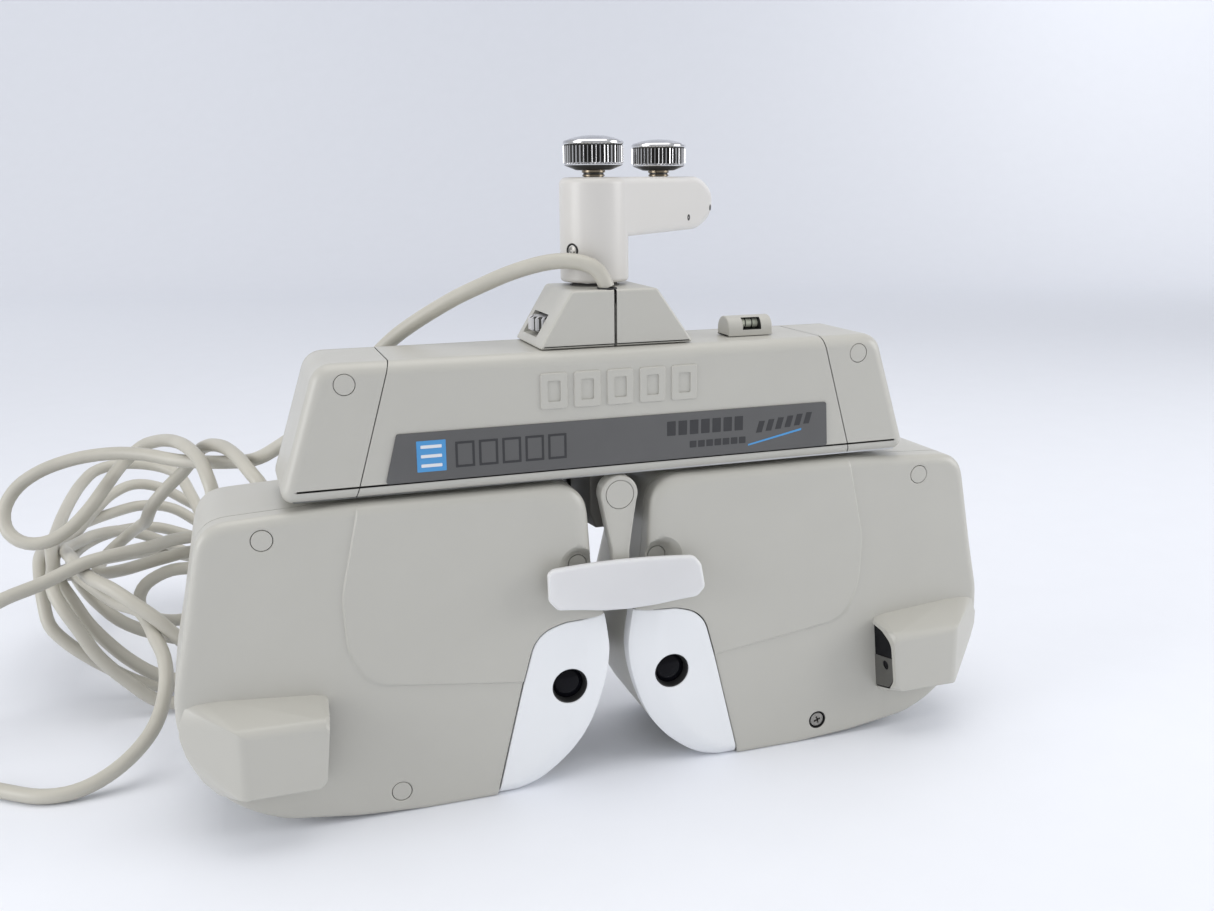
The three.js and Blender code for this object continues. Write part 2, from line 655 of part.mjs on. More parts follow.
const CLAMP_SCREW = { angle: -1, z: 252.6 };
add("joint_arm", jointArm(), creamPaint);
add("column_clamp_screw", new THREE.CylinderGeometry(2.6, 2.6, 5, 12).translate(0, -COLUMN.r + 3, 0), steel,
  assembly, [0, COLUMN.y, CLAMP_SCREW.z], [0, 0, CLAMP_SCREW.angle]);

function clampKnob(stemBottom) {
  const profile = [
    [0, stemBottom],
    [KNOB.stemR, stemBottom],
    [KNOB.stemR, KNOB.bottom],
    [KNOB.r - 4, KNOB.bottom],
    [KNOB.r, KNOB.bottom + 2.2],
    [KNOB.r, KNOB.rim],
    [KNOB.r * 0.72, KNOB.rim + 2.2],
    [0, KNOB.top],
  ].map(([r, z]) => new THREE.Vector2(r, z));
  return new THREE.LatheGeometry(profile, 32).rotateX(Math.PI / 2);
}

add("swivel_lock_knob", clampKnob(POST.top + 6), chrome, assembly, [0, COLUMN.y, 0]);
add("mount_lock_knob", clampKnob(COLUMN.top - 12), chrome, assembly, [...along(ARM.knobAt), 0]);

// ---- forehead rest -------------------------------------------------------------------------------------------------

function foreheadGuide() {
  const block = hull([-1, 1].flatMap((side) => [
    [9.6 * side, 18, 151], [9.6 * side, 50, 151], [9.6 * side, 18, 130],
    [9.6 * side, 50, 122], [6.4 * side, 18, 122], [6.4 * side, 48, 119],
  ]));
  return cut(block, cylinderY(boreRadius(REST.rodR), 10, 60, 0, REST.z));
}
add("forehead_guide", foreheadGuide(), darkPlastic);

function foreheadArm() {
  const head = cylinderY(REST.topR, REST.y, REST.y + 8, 0, REST.z, 24);
  const blade = hull([
    [-8.9, REST.y, REST.z], [8.9, REST.y, REST.z], [-8.9, REST.y + 8, REST.z], [8.9, REST.y + 8, REST.z],
    [-4.3, -0.5, 113], [4.3, -0.5, 113], [-4.3, 4.5, 113], [4.3, 4.5, 113],
  ]);
  const tongue = hull([
    [-4.3, -0.5, 114], [4.3, -0.5, 114], [-4.3, 4.5, 114], [4.3, 4.5, 114],
    [-3.9, -1.5, 96], [3.9, -1.5, 96], [-3.9, 3, 96], [3.9, 3, 96],
  ]);
  const rod = cylinderY(REST.rodR, REST.y + 6, 64, 0, REST.z);
  return join(head, blade, tongue, rod);
}
add("forehead_arm", foreheadArm(), greyPlastic);

// The rest pad: a curved plate, its ends bent towards the patient.
function foreheadPad() {
  const half = 38.5;
  const bow = 6;
  const thickness = 3.4;
  const steps = 10;
  const shape = new THREE.Shape();
  const front = Array.from({ length: steps + 1 }, (_, i) => {
    const x = -half + (2 * half * i) / steps;
    return [x, -5.8 - bow * (x / half) ** 2];
  });
  shape.moveTo(...front[0]);
  front.slice(1).forEach(([x, y]) => shape.lineTo(x, y));
  [...front].reverse().forEach(([x, y]) => shape.lineTo(x, y + thickness));
  shape.closePath();
  const band = extrude(shape, 40).translate(0, 0, 85);
  const face = frontPlate([
    [-34, 93.2, 3], [-9.8, 88.7, 0], [1.7, 87.9, 0], [15.5, 88.6, 0], [34.8, 91.6, 2.8], [38.5, 96.2, 2.4],
    [36.6, 107.7, 2.6], [33.2, 112, 2.2], [-3.2, 112.7, 0], [-36, 113.2, 1.4], [-38.5, 111.6, 1], [-38.4, 98.4, 3],
  ], -20, 10);
  const pocket = hull([
    [-5.6, -2.2, 90], [5.6, -2.2, 90], [-5.6, 6, 90], [5.6, 6, 90],
    [-6.4, -2.2, 118], [6.4, -2.2, 118], [-6.4, 6, 118], [6.4, 6, 118],
  ]);
  return cut(common(band, face), pocket);
}
add("forehead_pad", foreheadPad(), padPlastic);

const restKnob = new THREE.LatheGeometry(
  [[boreRadius(REST.rodR), 50.4], [9, 50.4], [11, 52], [11, 60], [9.5, 62], [boreRadius(REST.rodR), 62]]
    .concat([[boreRadius(REST.rodR), 50.4]])
    .map(([r, y]) => new THREE.Vector2(r, y)),
  24,
);
add("forehead_knob", restKnob, darkPlastic, assembly, [0, 0, REST.z]);

// ---- cable -----------------------------------------------------------------------------------------------------------

function tube(route) {
  const curve = new THREE.CatmullRomCurve3(route.map((p) => new THREE.Vector3(...p)), false, "centripetal");
  const section = new THREE.Shape(
    Array.from({ length: CABLE.sides }, (_, i) => {
      const angle = (2 * Math.PI * i) / CABLE.sides;
      return new THREE.Vector2(CABLE.r * Math.cos(angle), CABLE.r * Math.sin(angle));
    }),
  );
  const steps = Math.round((curve.getLength() / (2 * CABLE.r)) * CABLE.sectionsPerDiameter);
  return new THREE.ExtrudeGeometry(section, { steps, bevelEnabled: false, extrudePath: curve });
}

const glandRing = cylinderZ(GLAND.r, TOWER.top + GAP, TOWER.top + 1.5, GLAND.x, GLAND.y, 16);
const glandBore = cylinderZ(CABLE.r + 1.2, TOWER.top - 1, TOWER.top + 5, GLAND.x, GLAND.y, 12);
add("cable_gland", cut(glandRing, glandBore), darkPlastic);
add("cable_lead", tube(LEAD_ROUTE), cablePlastic);
add("cable_loop", tube(LOOP_ROUTE), cablePlastic);
add("cable_tail", tube(TAIL_ROUTE), cablePlastic);

// The loose turns of the coil, from the top one down: each swings out and in about the mean radius.
const COIL_ROUTE = Array.from({ length: COIL.turns * 12 + 1 }, (_, i) => {
  const turn = i / 12;
  const angle = Math.PI - 2 * Math.PI * turn;
  const r = COIL.radius + COIL.swing * Math.sin(2.4 * turn);
  const z = COIL.height - CABLE.r - ((COIL.height - 2 * CABLE.r - GAP) * turn) / COIL.turns;
  return [COIL.x + r * Math.cos(angle), COIL.y + r * Math.sin(angle), z];
});
add("cable_coil", tube(COIL_ROUTE), cablePlastic);

const connectorProfile = [[0, 0], [CABLE.r + 2, 0], [7, 8], [CONNECTOR.r, 14], [CONNECTOR.r, 38], [8, 42], [0, 42]]
  .map(([r, x]) => new THREE.Vector2(r, x));
add("cable_connector", new THREE.LatheGeometry(connectorProfile, 20).rotateZ(-Math.PI / 2), darkPlastic, assembly,
  [CONNECTOR.from, CONNECTOR.y, CONNECTOR.z]);

export default assembly;
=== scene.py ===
"""Visual model of a motorised refractor head: covers, joint arm, forehead rest and loose cable.

Lengths are in mm. A point is (across, depth behind the front face of the measuring heads, height).
"""

import contextlib
import math

import bmesh
import bpy
import mathutils
import numpy as np
from mathutils import Matrix, Vector


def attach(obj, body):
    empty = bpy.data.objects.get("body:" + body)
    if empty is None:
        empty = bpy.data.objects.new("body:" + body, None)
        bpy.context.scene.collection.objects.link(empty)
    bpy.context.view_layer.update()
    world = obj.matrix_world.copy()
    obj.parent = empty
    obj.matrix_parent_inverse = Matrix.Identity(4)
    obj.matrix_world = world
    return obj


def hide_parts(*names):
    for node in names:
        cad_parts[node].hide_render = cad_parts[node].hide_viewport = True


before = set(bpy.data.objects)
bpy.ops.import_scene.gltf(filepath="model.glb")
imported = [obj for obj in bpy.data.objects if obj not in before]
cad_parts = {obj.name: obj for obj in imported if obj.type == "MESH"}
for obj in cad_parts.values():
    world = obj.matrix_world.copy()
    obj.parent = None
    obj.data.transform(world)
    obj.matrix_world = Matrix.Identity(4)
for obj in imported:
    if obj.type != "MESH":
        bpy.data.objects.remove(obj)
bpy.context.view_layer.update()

MM = 0.001
CENTRE_Y = 55.590873      # depth of the row frame's origin
TO_ROW = Matrix.Translation((0, -CENTRE_Y * MM, 0)) @ Matrix.Scale(MM, 4)
SCENE = bpy.context.scene


def at(x, y, z):
    """A point of the object as metres in the row frame."""
    return TO_ROW @ Vector((x, y, z))


# ---- materials ----


def shader_nodes(name):
    made = bpy.data.materials.new(name)
    made.use_nodes = True
    tree = made.node_tree
    return made, tree, tree.nodes["Principled BSDF"]


def noise(tree, scale, detail=3):
    """A noise texture in the object's own space."""
    place = tree.nodes.new("ShaderNodeTexCoord")
    texture = tree.nodes.new("ShaderNodeTexNoise")
    texture.inputs["Scale"].default_value = scale
    texture.inputs["Detail"].default_value = detail
    texture.inputs["Roughness"].default_value = 0.55
    tree.links.new(place.outputs["Object"], texture.inputs["Vector"])
    return texture.outputs["Fac"]


def between(tree, factor, low, high):
    """The factor's middle range drawn out to run from one value or colour to another."""
    ramp = tree.nodes.new("ShaderNodeValToRGB")
    ramp.color_ramp.elements[0].position = 0.35
    ramp.color_ramp.elements[1].position = 0.65
    ramp.color_ramp.elements[0].color = low if isinstance(low, tuple) else (low, low, low, 1)
    ramp.color_ramp.elements[1].color = high if isinstance(high, tuple) else (high, high, high, 1)
    tree.links.new(factor, ramp.inputs["Fac"])
    return ramp.outputs["Color"]


def shade(colour, by):
    return tuple(c * by for c in colour) + (1,)


def surface(name, colour, roughness, metallic=0.0, mottle=0.03, grain=0.0, grain_scale=1400, coat=0.0):
    """A material with slightly uneven colour and gloss and a fine grain on its surface."""
    made, tree, shader = shader_nodes(name)
    blotches = noise(tree, 28)
    colours = between(tree, blotches, shade(colour, 1 - mottle), shade(colour, 1 + mottle))
    tree.links.new(colours, shader.inputs["Base Color"])
    wear = between(tree, noise(tree, 60), roughness * 0.95, roughness * 1.05)
    tree.links.new(wear, shader.inputs["Roughness"])
    shader.inputs["Metallic"].default_value = metallic
    shader.inputs["Coat Weight"].default_value = coat
    shader.inputs["Coat Roughness"].default_value = 0.12
    if grain > 0:
        bump = tree.nodes.new("ShaderNodeBump")
        bump.inputs["Strength"].default_value = grain
        bump.inputs["Distance"].default_value = 0.0002
        tree.links.new(noise(tree, grain_scale, 2), bump.inputs["Height"])
        tree.links.new(bump.outputs["Normal"], shader.inputs["Normal"])
    return made


def translucent(name, colour, roughness, depth):
    """A milky plastic that light sinks into."""
    made = surface(name, colour, roughness, mottle=0.015)
    shader = made.node_tree.nodes["Principled BSDF"]
    shader.inputs["Subsurface Weight"].default_value = 0.6
    shader.inputs["Subsurface Radius"].default_value = (1, 1, 1)
    shader.inputs["Subsurface Scale"].default_value = depth * MM
    return made


def dull(made, level):
    """The same material with a weaker mirror reflection."""
    made.node_tree.nodes["Principled BSDF"].inputs["Specular IOR Level"].default_value = level
    return made


def materials():
    return {
        "plastic": surface("plastic", (0.495, 0.486, 0.443), 0.34, grain=0.1, mottle=0.01),
        "shield": surface("shield", (0.83, 0.845, 0.86), 0.32, mottle=0.008),
        "pad": translucent("pad", (0.72, 0.72, 0.725), 0.35, 3),
        "paint": surface("paint", (0.63, 0.612, 0.58), 0.36, mottle=0.004, coat=0.1),
        "label": surface("label", (0.1, 0.1, 0.1), 0.42, mottle=0.04, grain=0.1),
        "label_blue": surface("label_blue", (0.07, 0.3, 0.62), 0.35),
        "label_white": surface("label_white", (0.75, 0.76, 0.78), 0.4),
        "label_ink": surface("label_ink", (0.03, 0.03, 0.032), 0.35),
        "glass": dull(surface("glass", (0.004, 0.004, 0.006), 0.05, mottle=0.1), 0.12),
        "dark": dull(surface("dark", (0.02, 0.02, 0.02), 0.45, mottle=0.1, grain=0.2), 0.3),
        # groove: painted shade, and on the chrome knobs painted dark reflection, for the faces between flutes
        # and teeth and in recesses
        "groove": dull(surface("groove", (0.05, 0.049, 0.046), 0.35, metallic=0.6, mottle=0.1), 0.4),
        "dark_grey": surface("dark_grey", (0.09, 0.088, 0.08), 0.5, mottle=0.08),
        "bracket": surface("bracket", (0.16, 0.155, 0.14), 0.5, mottle=0.08),
        "chrome": surface("chrome", (0.62, 0.62, 0.63), 0.16, metallic=1, mottle=0.02),
        "brass": surface("brass", (0.24, 0.2, 0.15), 0.26, metallic=1, mottle=0.1),
        "screw": surface("screw", (0.3, 0.29, 0.27), 0.32, metallic=0.8, mottle=0.1),
        "steel": surface("steel", (0.5, 0.5, 0.49), 0.3, metallic=1),
        "aluminium": surface("aluminium", (0.55, 0.56, 0.57), 0.4, metallic=1, grain=0.15),
        "wheel": surface("wheel", (0.6, 0.6, 0.62), 0.3, mottle=0.05),
        "vial": surface("vial", (0.72, 0.74, 0.6), 0.08, mottle=0.05, coat=0.5),
        "cable": surface("cable", (0.5, 0.482, 0.422), 0.4, mottle=0.05, grain=0.15, grain_scale=900),
    }


# ---- outlines ----


def rounded_line(corners, closed=True):
    """Corners (across, up, radius) joined by straight lines, each corner rounded to its radius."""
    count = len(corners)
    points = []
    for i, (x, z, r) in enumerate(corners):
        here = np.array((x, z), float)
        if r <= 0 or (not closed and i in (0, count - 1)):
            points.append(here)
            continue
        back = np.array(corners[i - 1][:2], float) - here
        on = np.array(corners[(i + 1) % count][:2], float) - here
        back /= np.linalg.norm(back)
        on /= np.linalg.norm(on)
        half = math.acos(np.clip(back @ on, -1, 1)) / 2
        centre = here + (back + on) / np.linalg.norm(back + on) * r / math.sin(half)
        start = here + back * r / math.tan(half) - centre
        end = here + on * r / math.tan(half) - centre
        for t in np.linspace(0, 1, 13):
            spoke = start * (1 - t) + end * t
            points.append(centre + spoke * r / np.linalg.norm(spoke))
    return np.array(points)


def rectangle(x0, x1, z0, z1, r):
    return rounded_line([(x0, z0, r), (x1, z0, r), (x1, z1, r), (x0, z1, r)])


def closed(line):
    return np.vstack([line, line[:1]])


def spaced(line, spacing):
    """The same open line with its points evenly spaced."""
    along = np.concatenate([[0], np.cumsum(np.linalg.norm(np.diff(line, axis=0), axis=1))])
    even = np.linspace(0, along[-1], max(3, round(along[-1] / spacing) + 1))
    return np.column_stack([np.interp(even, along, line[:, k]) for k in range(line.shape[1])])


def even_ring(ring, spacing):
    """The same ring with its points evenly spaced."""
    return spaced(closed(ring), spacing)[:-1]


def softened(ring, spacing, reach):
    """The same ring, evenly spaced, with its corners eased over a distance."""
    even = even_ring(ring, spacing)
    count = len(even)
    steps = np.arange(count)
    steps = np.minimum(steps, count - steps) * spacing
    weights = np.exp(-0.5 * (steps / reach) ** 2)
    spectrum = np.fft.fft(weights / weights.sum())
    return np.column_stack([np.fft.ifft(np.fft.fft(even[:, k]) * spectrum).real for k in range(2)])


def circle(x, z, r, count=48):
    turn = np.arange(count) * 2 * math.pi / count
    return np.column_stack([x + r * np.cos(turn), z + r * np.sin(turn)])


def normals(line, is_closed):
    """Unit directions to the left of a line at each of its points."""
    if is_closed:
        along = np.roll(line, -1, 0) - np.roll(line, 1, 0)
    else:
        along = np.gradient(line, axis=0)
    along = along / np.linalg.norm(along, axis=1)[:, None]
    return np.column_stack([-along[:, 1], along[:, 0]])


def left_of(points, line):
    """How far each point lies to the left of an open line, negative to its right."""
    a, run = line[:-1], np.diff(line, axis=0)
    length2 = (run**2).sum(1)
    out = np.zeros(len(points))
    for first in range(0, len(points), 4000):
        part = points[first : first + 4000, None] - a[None]
        t = np.clip((part * run).sum(2) / length2, 0, 1)
        gap = np.linalg.norm(part - t[..., None] * run, axis=2)
        k = gap.argmin(1)
        rows = np.arange(len(k))
        side = run[k, 0] * part[rows, k, 1] - run[k, 1] * part[rows, k, 0]
        out[first : first + 4000] = np.where(side < 0, -1, 1) * gap[rows, k]
    return out


def ramp(value, start, end):
    """0 before start, 1 past end, with an easy change between."""
    t = np.clip((value - start) / (end - start), 0, 1)
    return t * t * (3 - 2 * t)


# ---- meshes ----

ON_AXIS = 0.001       # radius that stands for a point on the axis of a turned solid
SAME_PLACE = 0.001    # points nearer than this are joined


def linked(name, data):
    """An object in the scene that shows a mesh, curve, light or camera."""
    obj = bpy.data.objects.new(name, data)
    SCENE.collection.objects.link(obj)
    return obj


def mesh_object(name, vertices, faces):
    mesh = bpy.data.meshes.new(name)
    mesh.from_pydata([tuple(map(float, v)) for v in vertices], [], [tuple(map(int, f)) for f in faces])
    return linked(name, mesh)


def from_bmesh(name, bm):
    mesh = bpy.data.meshes.new(name)
    bm.to_mesh(mesh)
    bm.free()
    return linked(name, mesh)


@contextlib.contextmanager
def edited(obj):
    """An object's mesh, open for editing and written back afterwards."""
    bm = bmesh.new()
    bm.from_mesh(obj.data)
    yield bm
    bm.to_mesh(obj.data)
    bm.free()


def outward(obj):
    """Joins points in the same place and turns every face outwards."""
    with edited(obj) as bm:
        bmesh.ops.remove_doubles(bm, verts=bm.verts, dist=SAME_PLACE)
        bmesh.ops.recalc_face_normals(bm, faces=bm.faces)
    return obj


def through(name, rings, is_loop=False):
    """A solid through rings with equal numbers of points, capped at its ends or joined into a loop."""
    count = len(rings[0])
    faces = []
    for k in range(len(rings) - 1):
        low, high = k * count, (k + 1) * count
        faces += [(low + i, low + (i + 1) % count, high + (i + 1) % count, high + i) for i in range(count)]
    last = (len(rings) - 1) * count
    if is_loop:
        faces += [(last + i, last + (i + 1) % count, (i + 1) % count, i) for i in range(count)]
    else:
        faces += [tuple(range(count)), tuple(range(last, last + count))]
    return outward(mesh_object(name, np.vstack(rings), faces))


def plate(name, ring, y0, y1, front=0.0, back=0.0, steps=6):
    """A front-view ring given depth from y0 to y1, its front and rear edges rounded."""
    inward = normals(ring, True)
    rings = []
    for edge, y, way in ((front, y0, 1), (back, y1, -1)):
        part = []
        for turn in np.linspace(0, math.pi / 2, steps + 1) if edge > 0 else [math.pi / 2]:
            drawn = ring + inward * edge * (1 - math.sin(turn))
            depth = y + way * edge * (1 - math.cos(turn))
            part.append(np.column_stack([drawn[:, 0], np.full(len(ring), depth), drawn[:, 1]]))
        rings += part if way > 0 else part[::-1]
    return through(name, rings)


def turned(name, profile, sides=48, flutes=0, depth=0.0, fluted=(0, 0)):
    """A solid turned about the z axis from (radius, height) points, fluted between two heights.

    A profile that starts off the axis is closed into a ring.
    """
    turn = np.arange(sides) * 2 * math.pi / sides
    rings = []
    for radius, z in profile:
        cut = depth * np.abs(np.cos(turn * flutes / 2)) ** 1.5 if fluted[0] <= z <= fluted[1] else 0 * turn
        r = max(radius, ON_AXIS) - cut
        rings.append(np.column_stack([r * np.cos(turn), r * np.sin(turn), np.full(sides, z)]))
    return through(name, rings, is_loop=profile[0][0] > 0)


def moved(obj, location=(0, 0, 0), axis="Z", angle=0.0):
    """Turns an object about an axis through the origin, then moves it."""
    obj.data.transform(Matrix.Translation(location) @ Matrix.Rotation(math.radians(angle), 4, axis))
    return obj


def cylinder(r, z0, z1, sides=48, location=(0, 0, 0)):
    return moved(turned("cylinder", [(0, z0), (r, z0), (r, z1), (0, z1)], sides), location)


def facing_back(obj, location):
    """A piece turned about z, laid with its top towards the back, then moved."""
    return moved(obj, location, "X", -90)


def pointed(obj, location, way):
    """A piece turned about z, with its top pointed along a direction, then moved."""
    obj.data.transform(Matrix.Translation(location) @ way.to_track_quat("Z", "Y").to_matrix().to_4x4())
    return obj


def block(name, low, high):
    corners = [(x, y, z) for x in (low[0], high[0]) for y in (low[1], high[1]) for z in (low[2], high[2])]
    return wrapped(name, corners)


def wrapped(name, points):
    """The solid that a tight skin around the points encloses."""
    bm = bmesh.new()
    for p in points:
        bm.verts.new(p)
    bmesh.ops.convex_hull(bm, input=bm.verts)
    bmesh.ops.dissolve_limit(bm, angle_limit=math.radians(1), verts=bm.verts, edges=bm.edges)
    bmesh.ops.recalc_face_normals(bm, faces=bm.faces)
    return from_bmesh(name, bm)


def applied(obj):
    mesh = bpy.data.meshes.new_from_object(obj.evaluated_get(bpy.context.evaluated_depsgraph_get()))
    obj.modifiers.clear()
    obj.data = mesh
    return obj


def bevelled(obj, width, segments=4, angle=25):
    change = obj.modifiers.new("bevel", "BEVEL")
    change.width = width
    change.segments = segments
    change.limit_method = "ANGLE"
    change.angle_limit = math.radians(angle)
    return applied(obj)


def combined(obj, other, operation):
    change = obj.modifiers.new("with", "BOOLEAN")
    change.object = other
    change.operation = operation
    change.solver = "EXACT"
    applied(obj)
    bpy.data.objects.remove(other)
    return obj


def minus(obj, *others):
    for other in others:
        combined(obj, other, "DIFFERENCE")
    return obj


def everything(bm):
    return bm.verts[:] + bm.edges[:] + bm.faces[:]


def parted(obj, point, direction):
    """Keeps only what lies behind a plane, and closes the cut."""
    with edited(obj) as bm:
        found = bmesh.ops.bisect_plane(
            bm, geom=everything(bm), plane_co=point, plane_no=direction, clear_outer=True)
        edges = [e for e in found["geom_cut"] if isinstance(e, bmesh.types.BMEdge)]
        bmesh.ops.edgeloop_fill(bm, edges=edges)
        bmesh.ops.recalc_face_normals(bm, faces=bm.faces)
    return obj


def copied(obj, name):
    return linked(name, obj.data.copy())


def mirrored(obj):
    obj.data.transform(Matrix.Scale(-1, 4, (1, 0, 0)))
    obj.data.flip_normals()
    return obj


def together(name, *objects):
    """Several objects' meshes as one object, each with its own material."""
    bm = bmesh.new()
    slots = []
    for obj in objects:
        first = len(bm.faces)
        bm.from_mesh(obj.data)
        bm.faces.ensure_lookup_table()
        base = len(slots)
        slots += list(obj.data.materials)
        for face in bm.faces[first:]:
            face.material_index += base
        bpy.data.objects.remove(obj)
    whole = from_bmesh(name, bm)
    for finish in slots:
        whole.data.materials.append(finish)
    return whole


def finished(obj, finish):
    obj.data.materials.clear()
    obj.data.materials.append(LOOKS[finish])
    return obj


def two_toned(obj, finish, other, is_other):
    """One finish, and another on the faces whose middle passes a test."""
    finished(obj, finish)
    obj.data.materials.append(LOOKS[other])
    for face in obj.data.polygons:
        face.material_index = int(is_other(face.center))
    return obj


def evened(obj, sharp):
    """Smooth shading in which large faces stay flat."""
    obj.data.shade_smooth()
    obj.data.set_sharp_from_angle(angle=math.radians(sharp))
    change = obj.modifiers.new("even", "WEIGHTED_NORMAL")
    change.keep_sharp = True
    change.weight = 100
    return applied(obj)


def shown(obj, body, nodes=(), sharp=32):
    """Brings a piece made in mm into the row frame, smooths it and lets it ride on its body."""
    obj.data.transform(TO_ROW)
    evened(obj, sharp)
    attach(obj, body)
    if nodes:
        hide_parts(*nodes)
    return obj


LOOKS = materials()


# ---- measuring heads, made on the right side and mirrored for the left ----

SPLIT = 12.0          # depth of the seam between a head's front and back cover
BACK = 76.0           # depth of a head's back
FILLET = 5.0          # depth of the rounding round a head's face
LEVEL = 0.9           # how far the outer part of the face lies behind the raised panel
NOSE_DEPTH = 6.2      # depth of the round recess beside the nose
WALL = 2.2            # thickness that the covers' edges show
SEAM_GAP = 0.3        # half the gap between front cover and face shield
COVER_GAP = 0.25      # half the gap between front and back cover
PLUG_R = 4.45

# Seen from the front: a head's outline, the seam between its cover and its face shield, and the edge of its
# raised panel.
HEAD = softened(rounded_line([
    (62, -1, 0), (86, -0.6, 0), (127, 2, 0), (159, 6.6, 0), (171, 12, 0), (181.5, 18.6, 0), (191, 29, 0),
    (198, 43.5, 0), (201.2, 58, 0), (200.9, 72, 0), (195.2, 97, 0), (185.5, 146, 13), (120, 149.2, 0),
    (16.3, 148.9, 14), (13.8, 110, 0), (6.5, 80, 0), (4.7, 66, 0), (5.8, 54.9, 0), (8.6, 44, 0),
    (12.5, 33.1, 0), (18, 23, 0), (24.9, 14.9, 0), (33, 8.2, 0), (38.8, 4.3, 0), (45, 1.6, 0),
    (53.4, -0.3, 0),
]), 1.5, 3.0)
HEAD[:, 1] = np.maximum(HEAD[:, 1], 0.02)
SEAM = spaced(rounded_line([
    (64, -7, 0), (48.2, 57, 20), (42, 79, 16), (28, 83.2, 20), (-4, 84.4, 0),
], False), 1.2)
STEP = spaced(rounded_line([
    (118.6, 156, 0), (120.3, 145, 25), (128.6, 108, 40), (127.6, 84, 30), (120, 65.5, 16), (49.5, 56.4, 0),
    (30, 54, 0),
], False), 1.4)
NOSE_PLUG = (19.8, 109.2)
UPPER_PLUG = (160.1, 137.5)
LOWER_PLUG = (107.3, 10.9)
EYE = (26.0, 50.8)
EYE_R = 8.7
REAR_WINDOW = (EYE[0] + 14, EYE[1])
REAR_SCREWS = ((172, 128), (150, 30), (60, 24), (40, 128))
HOLES = [(*NOSE_PLUG, 4.6), (*UPPER_PLUG, 4.75), (*LOWER_PLUG, 4.75), (*EYE, EYE_R)]


def from_centre(points, centre):
    return np.hypot(points[:, 0] - centre[0], points[:, 1] - centre[1])


def face_depth(points):
    """Depth of a head's front surface below the raised panel."""
    x, z = points.T
    inside = left_of(points, closed(HEAD))
    nose = ramp(x, 42, 28) * ramp(z, 76, 92)
    fillet = FILLET - 2.6 * ramp(z, 26, 10)
    turn = np.clip(1 - inside / (fillet + 4.5 * nose), 0, 1)
    step = left_of(points, STEP)
    ease = 0.55 + 1.5 * np.exp(-(((x - 119) / 10) ** 2) - ((z - 70) / 10) ** 2)
    level = LEVEL * ramp(step, -ease, ease)
    cover = level + (fillet - level) * (1 - np.sqrt(1 - turn**2))
    dish = NOSE_DEPTH * (1 - ramp(from_centre(points, NOSE_PLUG), 5.0, 11))
    cover = np.maximum(cover, dish)
    across = np.clip(1 - inside / (13 - 8 * ramp(x, 16, 60)), 0, 1)
    shield = 0.3 + 3.2 * across**1.15 + 1.0 * across**8
    from_seam = left_of(points, SEAM)
    depth = np.where(from_seam > 0, shield, cover)
    depth += 0.4 * (1 - ramp(np.abs(from_seam), 0.2, 0.8))
    for cx, cz, r in HOLES:
        depth += 0.3 * (1 - ramp(from_centre(points, (cx, cz)), r, r + 0.6))
    return depth


def sheet(border, lines, spacing):
    """Triangles that fill a closed border and keep to the given (points, is_closed) lines."""
    points, edges = [], []

    def keep(line, is_closed):
        first = len(points)
        points.extend(line)
        edges.extend((first + i, first + i + 1) for i in range(len(line) - 1))
        if is_closed:
            edges.append((first + len(line) - 1, first))

    keep(border, True)
    for line, is_closed in lines:
        keep(line, is_closed)
    low, high = border.min(0), border.max(0)
    rows = np.arange(low[1], high[1], spacing * 0.87)
    columns = np.arange(low[0], high[0], spacing)
    grid = np.array([(x + (k % 2) * spacing / 2, z) for k, z in enumerate(rows) for x in columns])
    grid = grid[left_of(grid, closed(border)) > 0.7 * spacing]
    for line, is_closed in lines:
        grid = grid[np.abs(left_of(grid, closed(line) if is_closed else line)) > 0.5 * spacing]
    points.extend(grid)
    points = [Vector(p) for p in points]
    flat, _, faces, *_ = mathutils.geometry.delaunay_2d_cdt(points, edges, [], 0, 1e-4, False)
    flat = np.array([tuple(p) for p in flat])
    faces = np.array(faces)
    middle = flat[faces].mean(1)
    return flat, faces[left_of(middle, closed(border)) > 0]


def place_of(vertex):
    """A vertex's coordinates, rounded so that they can be looked up."""
    return tuple(round(c, 4) for c in vertex.co)


def shell(name, flat, faces, depth, rim_depth, way):
    """A skin at a depth under each point, turned in along its rim and round its openings."""
    used = np.unique(faces)
    index = np.full(len(flat), -1)
    index[used] = np.arange(len(used))
    bm = bmesh.new()
    on_rim = left_of(flat, closed(HEAD)) < 0.05
    verts = [bm.verts.new((flat[i, 0], depth[i], flat[i, 1])) for i in used]
    rim = {verts[index[i]] for i in used if on_rim[i]}
    for face in index[faces]:
        bm.faces.new([verts[i] for i in face])
    bm.normal_update()
    if sum(f.normal.y for f in bm.faces) * way > 0:
        bmesh.ops.reverse_faces(bm, faces=bm.faces)
    edges = [e for e in bm.edges if e.is_boundary]
    was_rim = {place_of(v): v in rim for e in edges for v in e.verts}
    made = bmesh.ops.extrude_edge_only(bm, edges=edges)["geom"]
    fresh = {v: was_rim.get(place_of(v), False) for v in made if isinstance(v, bmesh.types.BMVert)}
    for v, from_rim in fresh.items():
        v.co.y = rim_depth if from_rim else v.co.y + way * WALL
    edges = [e for e in bm.edges if e.is_boundary and all(fresh.get(v, False) for v in e.verts)]
    made = bmesh.ops.extrude_edge_only(bm, edges=edges)["geom"]
    middle = Vector((100, 0, 75))
    for v in (g for g in made if isinstance(g, bmesh.types.BMVert)):
        inward = (middle - v.co) * Vector((1, 0, 1))
        v.co += inward.normalized() * WALL
    bmesh.ops.recalc_face_normals(bm, faces=bm.faces)
    return from_bmesh(name, bm)


def offset_lines(line, is_closed, distances):
    side = normals(line, is_closed)
    return [(line + side * d, is_closed) for d in distances]


